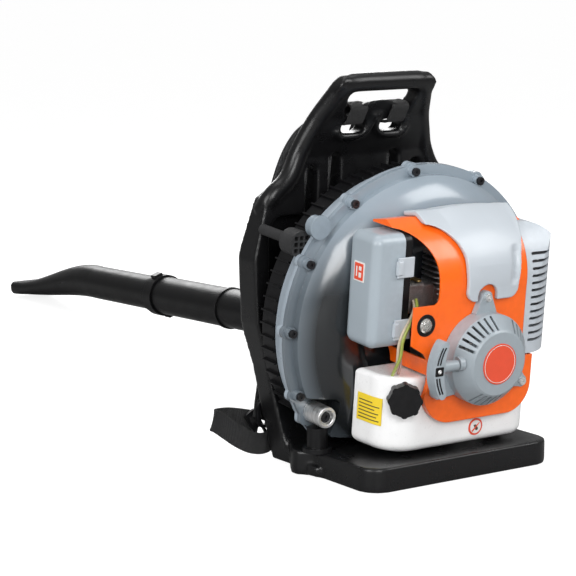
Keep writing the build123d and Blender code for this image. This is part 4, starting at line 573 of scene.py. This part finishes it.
# ---------------------------------------------------------------- bellows hose
TUBE_DROP = math.radians(7.6)
TUBE_DIR = LEAN @ Vector((0, math.cos(TUBE_DROP), -math.sin(TUBE_DROP)))
pan = next(j for j in frame["joints"] if j["name"] == "hose_pan")
PAN_AT = 0.010
TUBE_START = Vector(pan["pos_m"]) - TUBE_DIR * PAN_AT
HOSE_LENGTH = 0.112
HOSE_CUFF = 0.014
HOSE_BORE = 0.0343
HOSE_WALL = 0.0018
CUFF_RADIUS = 0.0367
FOLD_RADIUS = 0.0368
FOLD_HEIGHT = 0.0046
FOLDS = 12


def hose_profile(start, stop):
    """Outline of a stretch of bellows as (radius, along) pairs: folds outside, the same folds inside."""
    outside, inside = [], []
    steps = int((stop - start) / HOSE_LENGTH * FOLDS * 10)
    for step in range(steps + 1):
        place = start + (stop - start) * step / steps
        fold = 0.5 - 0.5 * math.cos(2 * math.pi * FOLDS * place / HOSE_LENGTH)
        radius = FOLD_RADIUS + FOLD_HEIGHT * fold ** 0.7
        outside.append((radius, place))
        inside.append((radius - HOSE_WALL, place))
    return outside, inside


def bellows(name, start, stop, cuff_first):
    """Half of the hose, with its plain cuff at the near end or at the far one."""
    outside, inside = hose_profile(start, stop)
    if cuff_first:
        cuff = [(HOSE_BORE, -HOSE_CUFF), (0.0364, -HOSE_CUFF + 0.0004), (CUFF_RADIUS, -HOSE_CUFF + 0.001),
                (CUFF_RADIUS, -0.001)]
        profile = cuff + outside + inside[::-1] + [(HOSE_BORE, 0)]
    else:
        end = HOSE_LENGTH + HOSE_CUFF
        cuff = [(CUFF_RADIUS, HOSE_LENGTH + 0.001), (CUFF_RADIUS, end - 0.001), (0.0364, end - 0.0004),
                (HOSE_BORE, end)]
        profile = outside + cuff + [(HOSE_BORE, HOSE_LENGTH)] + inside[::-1]
    made = turned(name, profile, TUBE_START, TUBE_DIR, BELLOWS, 72)
    return made


rear_half = bellows("bellows_rear", 0.0, HOSE_LENGTH / 2, True)
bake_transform(rear_half)
front_half = bellows("bellows_front", HOSE_LENGTH / 2, HOSE_LENGTH, False)
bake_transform(front_half)
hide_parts("bellows_hose")

# ---------------------------------------------------------------- starter rope
rope_low, rope_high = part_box("starter_rope")
rope_line = (rope_low + rope_high) / 2
strands = []
ROPE_ROWS, ROPE_SIDES, ROPE_RADIUS = 60, 12, 0.00165
for row in range(ROPE_ROWS + 1):
    along_x = rope_high.x + (rope_low.x - rope_high.x) * row / ROPE_ROWS
    for k in range(ROPE_SIDES):
        angle = 2 * math.pi * k / ROPE_SIDES
        plait = 1 + 0.08 * math.sin(3 * angle + row * 0.9)
        strands.append(Vector((along_x, rope_line.y + ROPE_RADIUS * plait * math.cos(angle),
                               rope_line.z + ROPE_RADIUS * plait * math.sin(angle))))
rope = piece("rope_cord", strands, stacked(ROPE_ROWS + 1, ROPE_SIDES), CORD)
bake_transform(rope)
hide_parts("starter_rope")

# ---------------------------------------------------------------- fuel hoses
TAN_LINE = ((-84.5, -114, 150), (-86, -121, 163), (-89, -125.5, 178), (-89, -126.5, 194), (-84, -126.5, 209),
            (-73, -125, 224), (-62, -118, 236), (-58, -110, 244))
PINK_LINE = ((-77, -114, 150), (-80, -121, 163), (-84.5, -125.5, 178), (-84.8, -126.5, 194), (-80, -126.5, 208),
             (-69, -125, 222), (-58, -118, 234), (-54, -110, 242))
GREEN_LINE = ((-88, -116, 150), (-89, -123, 162), (-88.5, -129, 174), (-87, -130, 184), (-86.5, -130.2, 196),
              (-81.5, -130.2, 210), (-70, -128.5, 226), (-60, -121, 238), (-56, -113, 246))
for word, material, across, points, replaced in (("tan", HOSE, 0.0038, TAN_LINE, "fuel_hoses"),
                                                 ("pink", HOSE_PINK, 0.0038, PINK_LINE, None),
                                                 ("green", HOSE_GREEN, 0.0042, GREEN_LINE, None)):
    run = smooth_path([leaned(*p) for p in points], 10)
    made = ribbon(f"fuel_hose_{word}", run, (0, 1, 0.2), lambda t: oval(across, across, 14, 1.0), material)
    belongs(made, "machine", replaced)


# ---------------------------------------------------------------- harness
def strap_points(side):
    """The shoulder strap's line, from the strap bar over the wearer's side and down to the base."""
    return [Vector((side * x, y, z)) * MM for x, y, z in (
        (34, 66, 446), (42, 104, 436), (54, 134, 396), (70, 150, 320), (90, 148, 230), (108, 132, 150),
        (118, 108, 100))]


def fullness(t):
    """How far the strap's padding swells: full in the middle, nothing at both ends."""
    return math.sin(math.pi * min(1, max(0, (t - 0.02) / 0.96))) ** 0.35


def strap_size(t):
    """Width and thickness of the padded strap in metres."""
    return (30 + 14 * fullness(t)) * MM, (3 + 6 * fullness(t)) * MM


def padded(t):
    """Section of the padded strap, which turns flat where it meets webbing."""
    return oval(*strap_size(t), 24, 0.6)


def edging(t):
    return oval(3.2 * MM, 3.2 * MM, 10, 1.0)


harness_pieces = []
STITCH_LONG, STITCH_WIDE, STITCH_THICK = 0.0016, 0.00045, 0.0003
for side, word in ((-1, "left"), (1, "right")):
    path = smooth_path(strap_points(side), 14)
    strap = ribbon(f"strap_{word}", path, (1, 0, 0), padded, MESH_CLOTH)
    for vertex in strap.data.vertices:
        vertex.co += vertex.co.normalized() * 0.0006 * noise.noise(vertex.co * 60)
    harness_pieces.append(strap)
    for edge in (-1, 1):
        rim = []
        for index, point in enumerate(path):
            reach = 14.6 + 7 * fullness(index / (len(path) - 1))
            rim.append(point + Vector((edge * reach * MM, 0, 0)))
        harness_pieces.append(ribbon(f"strap_{word}_edge_{'in' if edge * side < 0 else 'out'}", rim, (1, 0, 0),
                                     edging, BINDING))
    # rows of stitching that hold the binding and quilt the middle
    for row, offset in enumerate((-0.32, 0.32)):
        vertices, faces = [], []
        for index in range(2, len(path) - 3):
            width, thickness = strap_size(index / (len(path) - 1))
            ahead = (path[index + 1] - path[index]).normalized()
            out = RIGHTWARD.cross(ahead).normalized()
            if out.y < 0:
                out = -out
            centre = path[index] + RIGHTWARD * offset * width + out * (thickness / 2 + 0.0002)
            base = len(vertices)
            for a, b in ((-1, -1), (1, -1), (1, 1), (-1, 1)):
                for c in (-1, 1):
                    vertices.append(centre + ahead * a * STITCH_LONG + RIGHTWARD * b * STITCH_WIDE
                                    + out * c * STITCH_THICK)
            for quad in ((0, 2, 4, 6), (1, 7, 5, 3), (0, 1, 3, 2), (2, 3, 5, 4), (4, 5, 7, 6), (6, 7, 1, 0)):
                faces.append(tuple(base + k for k in quad))
        harness_pieces.append(piece(f"strap_{word}_stitches_{row}", vertices, faces, THREAD, smooth=False))


def band(wide, thick):
    """Section of flat webbing with slightly thicker woven edges."""
    half, thin = wide / 2, thick / 2
    return [(-half, -thin), (-half * 0.9, -thin * 1.25), (-half * 0.8, -thin * 0.9), (half * 0.8, -thin * 0.9),
            (half * 0.9, -thin * 1.25), (half, -thin), (half, thin), (half * 0.9, thin * 1.25),
            (half * 0.8, thin * 0.9), (-half * 0.8, thin * 0.9), (-half * 0.9, thin * 1.25), (-half, thin)]


def webbing(name, points, wide_axis, wide, thick=1.6, steps=12):
    """A length of flat webbing along points in millimetres."""
    path = smooth_path([Vector(p) * MM for p in points], steps)
    harness_pieces.append(ribbon(name, path, wide_axis, lambda t: band(wide * MM, thick * MM), WEBBING))


webbing("tail_left_rear", ((-141, 93, 42), (-160, 100, 47), (-185, 103, 52), (-207, 99, 54), (-212, 95, 53.5),
                           (-207, 91, 51), (-194, 88, 41), (-178, 86, 29), (-160, 85, 19), (-143, 85, 15),
                           (-130, 86, 17), (-126, 90, 22), (-130, 94, 24)), (0.2, 0, 1), 29)
webbing("tail_right", ((141, 93, 36), (146, 99, 34), (151, 101, 32), (153, 97, 30), (148, 94, 27), (140, 91, 22),
                       (131, 91, 20), (127, 94, 22)), (-0.2, 0, 1), 26)
for side, word in ((-1, "left"), (1, "right")):
    webbing(f"lower_run_{word}", ((side * 118, 108, 101), (side * 124, 103, 88), (side * 132, 96, 70),
                                  (side * 139, 88.5, 57), (side * 143, 86, 48)), (1, 0, 0.3 * side), 28)
    webbing(f"ring_loop_{word}", ((side * 141, 89.0, 62), (side * 141, 90.5, 70), (side * 141, 86, 76),
                                  (side * 141, 80, 77.5), (side * 141, 77.0, 72), (side * 141, 77.5, 66)),
            (1, 0, 0), 10)
    # the strap's own end loops round the strap bar: up behind it, over it, down its front and back through the slot
    bar_wrap = ((66, 446), (60, 457), (50, 466), (36, 470), (20, 467.5), (15.5, 463), (21, 454), (25.8, 446.5),
                (31, 442.5), (44, 442), (58, 441))
    webbing(f"bar_wrap_{word}", [(side * 34, y, z) for y, z in bar_wrap], (1, 0, 0), 27, thick=2.6, steps=8)

for made in harness_pieces:
    belongs(made, "machine", "harness_straps" if made is harness_pieces[0] else None)

# ---------------------------------------------------------------- rounded rails of the frame
def frame_face(height):
    """Depth of the frame's engine-side face at a height, in millimetres."""
    profile = ((0, 12), (40, 30), (110, 46), (200, 50), (350, 50), (400, 49), (450, 27), (491, -2))
    for (low, near), (high, far) in zip(profile, profile[1:]):
        if height <= high:
            return near + (far - near) * (height - low) / (high - low)
    return profile[-1][1]


def moulded_rail(name, points, wide, thick, steps=10):
    """A rounded rail along points in millimetres, to be moulded into the frame."""
    path = smooth_path([Vector(p) * MM for p in points], steps)
    return ribbon(name, path, (0, 1, 0), lambda t: oval(thick * MM, wide * MM, 32, 1.0), BLACK)


LEFT_RAIL = ((-152, 70, 330), (-149, 60, 344), (-140, 57, 356), (-126, 57, 366), (-114, 57, 380),
             (-103.5, 56.5, 404), (-95.5, 50, 425), (-85.5, 39.5, 450), (-75.5, 23, 475), (-69, 12.5, 489),
             (-60, 7, 496.5), (-46, 5.7, 498.6))
RIGHT_RAIL = tuple((-x, y, z) for x, y, z in LEFT_RAIL[::-1])
SLOT_LIP = ((58, 435), (54, 427), (44, 424.5), (30, 424.5), (16, 427), (7, 434), (3.5, 444), (3, 456))
BASE_WALL = ((151.9, -62), (154.7, -59), (156.3, -48), (155.2, -40), (153.0, -36))
rails = [moulded_rail("handle_rail", LEFT_RAIL + ((0, 5.7, 498.8),) + RIGHT_RAIL, 25, 25)]
for side, word in ((-1, "left"), (1, "right")):
    rails.append(moulded_rail(f"slot_lip_{word}", [(side * x, frame_face(z) + 0.6, z) for x, z in SLOT_LIP], 8, 10))
    # the wall outside a support post's bolt recess
    rails.append(ribbon(f"base_wall_{word}", [Vector((side * x, y, 8)) * MM for x, y in BASE_WALL], (0, 0, 1),
                        lambda t: oval(15 * MM, 6 * MM, 12, 0.5), BLACK))
moulding = rounded_copy("frame_moulding", "back_frame", BLACK, 0.0022, 9, 0.30, rails)
belongs(moulding, "machine", "back_frame")

# ---------------------------------------------------------------- crowned top cap
CROWN_X, CROWN_HALF, CROWN_FROM, CROWN_HEIGHT = 36, 52, 262, 3.4
DIMPLE_WIDTH, DIMPLE_TOP, DIMPLE_DEPTH = 4.6, 314, 4.6
CAP_BEND = 316


def faded(value, length):
    """0 at nothing, 1 from length on."""
    return min(1, max(0, value / length))


crown = rounded_copy("top_cap_crowned", "top_cap", GUARD, 0.0011, 5, 0.45)
square = LEAN.transposed()
for vertex in crown.data.vertices:
    spot = square @ vertex.co * 1000
    # full in the middle of its width, with a long dimple pressed in near the right edge
    rise = max(0.0, 1 - ((spot.x - CROWN_X) / CROWN_HALF) ** 2) * faded(spot.z - CROWN_FROM, 30)
    centre = 72 + (spot.z - 290) * 0.12
    dimple = math.exp(-((spot.x - centre) / DIMPLE_WIDTH) ** 2)
    dimple *= faded(spot.z - CROWN_FROM, 8) * faded(DIMPLE_TOP - spot.z, 10)
    normal = Vector((0, -1, 0)) if spot.z < CAP_BEND else Vector((0, -0.5, 0.86))
    vertex.co += LEAN @ (normal * (CROWN_HEIGHT * rise - DIMPLE_DEPTH * dimple)) * MM
belongs(crown, "machine", "top_cap")

# ---------------------------------------------------------------- back pad
pad_low, pad_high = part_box("back_pad")
pad_middle = (pad_low + pad_high) / 2
pad_size = pad_high - pad_low


def pad_shell(columns=46, rows=36):
    """A crowned cushion: flat against the frame, swelling towards the wearer, with sides that pull in."""
    vertices = []
    for face in (0, 1):
        for row in range(rows + 1):
            for column in range(columns + 1):
                u, v = 2 * column / columns - 1, 2 * row / rows - 1
                # square to rounded rectangle
                x = u * math.sqrt(1 - 0.30 * v * v * u * u)
                z = v * math.sqrt(1 - 0.30 * u * u * v * v)
                pull_x = 1 - 0.03 * (1 - z * z)
                pull_z = 1 - 0.035 * (1 - x * x)
                crown = ((1 - abs(u) ** 5) * (1 - abs(v) ** 5)) ** 0.5
                thick = pad_size.y * (0.22 + 0.70 * crown) if face else 0.0008
                vertices.append(Vector((pad_middle.x + x * pull_x * pad_size.x * 0.48,
                                        pad_low.y + 0.0004 + thick,
                                        pad_middle.z + z * pull_z * pad_size.z * 0.48)))
    return vertices, cushion(columns, rows)


pad = piece("back_cushion", *pad_shell(), MESH_CLOTH)
face_outwards(pad)


def puff(soft, pressure, cap, frames=20, voxel=0.005):
    """Fills a cushion with air by cloth simulation, then keeps each point within cap of where it was."""
    apply_modifier(soft, "REMESH", mode="VOXEL", voxel_size=voxel)
    before = [v.co.copy() for v in soft.data.vertices]
    cloth = soft.modifiers.new("cloth", "CLOTH")
    cloth.settings.quality = 6
    cloth.settings.use_pressure = True
    cloth.settings.uniform_pressure_force = pressure
    cloth.settings.effector_weights.gravity = 0
    cloth.settings.mass = 0.15
    cloth.point_cache.frame_end = frames
    for step in range(1, frames + 1):
        bpy.context.scene.frame_set(step)
    bpy.ops.object.modifier_apply(modifier=cloth.name)
    bpy.context.scene.frame_set(1)
    for vertex, start in zip(soft.data.vertices, before):
        move = vertex.co - start
        if move.length > cap:
            vertex.co = start + move.normalized() * cap


def channel(value, centre, width):
    """Depth of a sewn channel, from 1 on its line down to 0 beside it."""
    return math.exp(-((value - centre) / width) ** 2)


puff(pad, 3.0, 0.004)
for vertex in pad.data.vertices:
    # keep the back flat against the frame, sink the sewn channels, and add faint creases
    co = vertex.co
    front_share = min(1, max(0, (co.y - pad_low.y) / pad_size.y))
    sink = sum(channel(co.z, pad_middle.z + k * pad_size.z * 0.2, 0.0030) for k in (-1.0, 0.0, 1.0))
    sink += channel(abs(co.x - pad_middle.x), pad_size.x * 0.40, 0.0028) * (
        1 if abs(co.z - pad_middle.z) < pad_size.z * 0.42 else 0)
    co.y -= 0.0045 * min(1.0, sink) * front_share
    co.y += 0.0009 * noise.noise(co * 38) * front_share
    co.y = min(pad_high.y + 0.004, max(pad_low.y + 0.0003, co.y))
for polygon in pad.data.polygons:
    polygon.use_smooth = True
finer = pad.modifiers.new("finer", "SUBSURF")
finer.levels = finer.render_levels = 1
belongs(pad, "machine", "back_pad")

# upper panel of the pad: quilted cloth that closes the frame's vent slots from behind
vertices = []
FLAP_COLUMNS, FLAP_ROWS = 40, 24
for face in (0, 1):
    for row in range(FLAP_ROWS + 1):
        for column in range(FLAP_COLUMNS + 1):
            u, v = 2 * column / FLAP_COLUMNS - 1, row / FLAP_ROWS
            z = 320 + 92 * v
            back = 80 + (350 - z) * 12 / 70 if z < 350 else 80 - (z - 350) * 12 / 68
            half = 112 - 22 * v ** 2
            crown = 1.2 + 4.5 * ((1 - abs(u) ** 6) * (1 - v ** 6)) ** 0.5
            crown *= 1 - 0.45 * channel(abs(u), 0.5, 0.05)
            y = back + 0.6 + (crown if face else 0)
            vertices.append(Vector((u * half, y + 0.5 * face * noise.noise(Vector((u * 4, v * 4, 0))), z)) * MM)
flap = piece("pad_upper_panel", vertices, cushion(FLAP_COLUMNS, FLAP_ROWS), MESH_CLOTH)
belongs(flap, "machine")

piping = []
PIPING_STEPS = 96
for step in range(PIPING_STEPS + 1):
    angle = 2 * math.pi * step / PIPING_STEPS
    c, s = math.cos(angle), math.sin(angle)
    u = math.copysign(abs(c) ** 0.42, c)
    v = math.copysign(abs(s) ** 0.42, s)
    piping.append(Vector((pad_middle.x + u * pad_size.x * 0.478, pad_low.y + pad_size.y * 0.16,
                          pad_middle.z + v * pad_size.z * 0.478)))
rim = ribbon("back_cushion_piping", piping, (0, 1, 0), lambda t: oval(0.0046, 0.0046, 12, 1.0), BINDING)
belongs(rim, "machine")

# ---------------------------------------------------------------- stage, light and camera
FLOOR_SIZE = 60.0


def floor_material():
    n = Nodes("floor_white")
    speckle = n.ranged(n.noise(8, 4), 0.3, 0.7, 0, 1)
    seen = n.add("ShaderNodeLightPath").outputs["Is Camera Ray"]
    n.set(Base_Color=n.mix(speckle, (0.28, 0.28, 0.28), (0.30, 0.30, 0.30)), Roughness=0.7,
          Emission_Color=(1, 1, 1), Emission_Strength=n.math("MULTIPLY", seen, 0.86))
    return n.material


floor = piece("studio_floor", [Vector((x * FLOOR_SIZE / 2, y * FLOOR_SIZE / 2, -0.0005))
                               for x, y in ((-1, -1), (1, -1), (1, 1), (-1, 1))], [(0, 1, 2, 3)], floor_material())

world = bpy.data.worlds.new("studio")
bpy.context.scene.world = world
world.use_nodes = True


def studio_surround(tree, seen=1.0, low=0.20, high=0.42):
    """White to the camera; as a light, pale above and dimmer towards the sides and the left."""
    background = tree.nodes["Background"]
    background.inputs["Color"].default_value = (1, 1, 1, 1)
    coordinate = tree.nodes.new("ShaderNodeTexCoord")
    split = tree.nodes.new("ShaderNodeSeparateXYZ")
    tree.links.new(coordinate.outputs["Generated"], split.inputs["Vector"])
    rise = tree.nodes.new("ShaderNodeMapRange")
    for key, number in (("From Min", 0.0), ("From Max", 0.9), ("To Min", low), ("To Max", high)):
        rise.inputs[key].default_value = number
    tree.links.new(split.outputs["Z"], rise.inputs["Value"])
    side = tree.nodes.new("ShaderNodeMapRange")
    for key, number in (("From Min", -0.8), ("From Max", 0.8), ("To Min", 0.9), ("To Max", 1.1)):
        side.inputs[key].default_value = number
    tree.links.new(split.outputs["X"], side.inputs["Value"])
    product = tree.nodes.new("ShaderNodeMath")
    product.operation = "MULTIPLY"
    tree.links.new(rise.outputs["Result"], product.inputs[0])
    tree.links.new(side.outputs["Result"], product.inputs[1])
    path = tree.nodes.new("ShaderNodeLightPath")
    choose = tree.nodes.new("ShaderNodeMix")
    tree.links.new(path.outputs["Is Camera Ray"], choose.inputs["Factor"])
    tree.links.new(product.outputs["Value"], choose.inputs["A"])
    choose.inputs["B"].default_value = seen
    tree.links.new(choose.outputs["Result"], background.inputs["Strength"])


studio_surround(world.node_tree)


AIM = Vector((0, 0, 0.25))
LIGHTS = (("right", (1.7, -1.9, 1.9), (1.4, 1.2), 32), ("top", (0.1, 0.1, 2.6), (1.8, 1.8), 17),
          ("front", (-1.1, -2.7, 1.3), (1.4, 1.4), 52), ("left", (-2.6, -0.8, 1.2), (1.2, 1.4), 44),
          ("back", (1.2, 2.6, 1.5), (1.6, 1.6), 42))
for name, place, size, watts in LIGHTS:
    lamp = bpy.data.lights.new(name, "AREA")
    lamp.shape = "RECTANGLE"
    lamp.size, lamp.size_y = size
    lamp.energy = watts
    made = bpy.data.objects.new(name, lamp)
    made.location = place
    made.rotation_euler = (AIM - Vector(place)).to_track_quat("-Z", "Y").to_euler()
    bpy.context.scene.collection.objects.link(made)

# the photograph's viewpoint
AZIMUTH = math.radians(-34.7)
ELEVATION = math.radians(9.6)
camera_data = bpy.data.cameras.new("camera")
camera_data.lens = 131.7
camera_data.sensor_width = 36
camera = bpy.data.objects.new("camera", camera_data)
camera.location = (-1.6794, -2.1966, 0.6915)
camera.rotation_euler = (math.pi / 2 - ELEVATION, 0, AZIMUTH)
bpy.context.scene.collection.objects.link(camera)
bpy.context.scene.camera = camera
bpy.context.scene.view_settings.view_transform = "Standard"
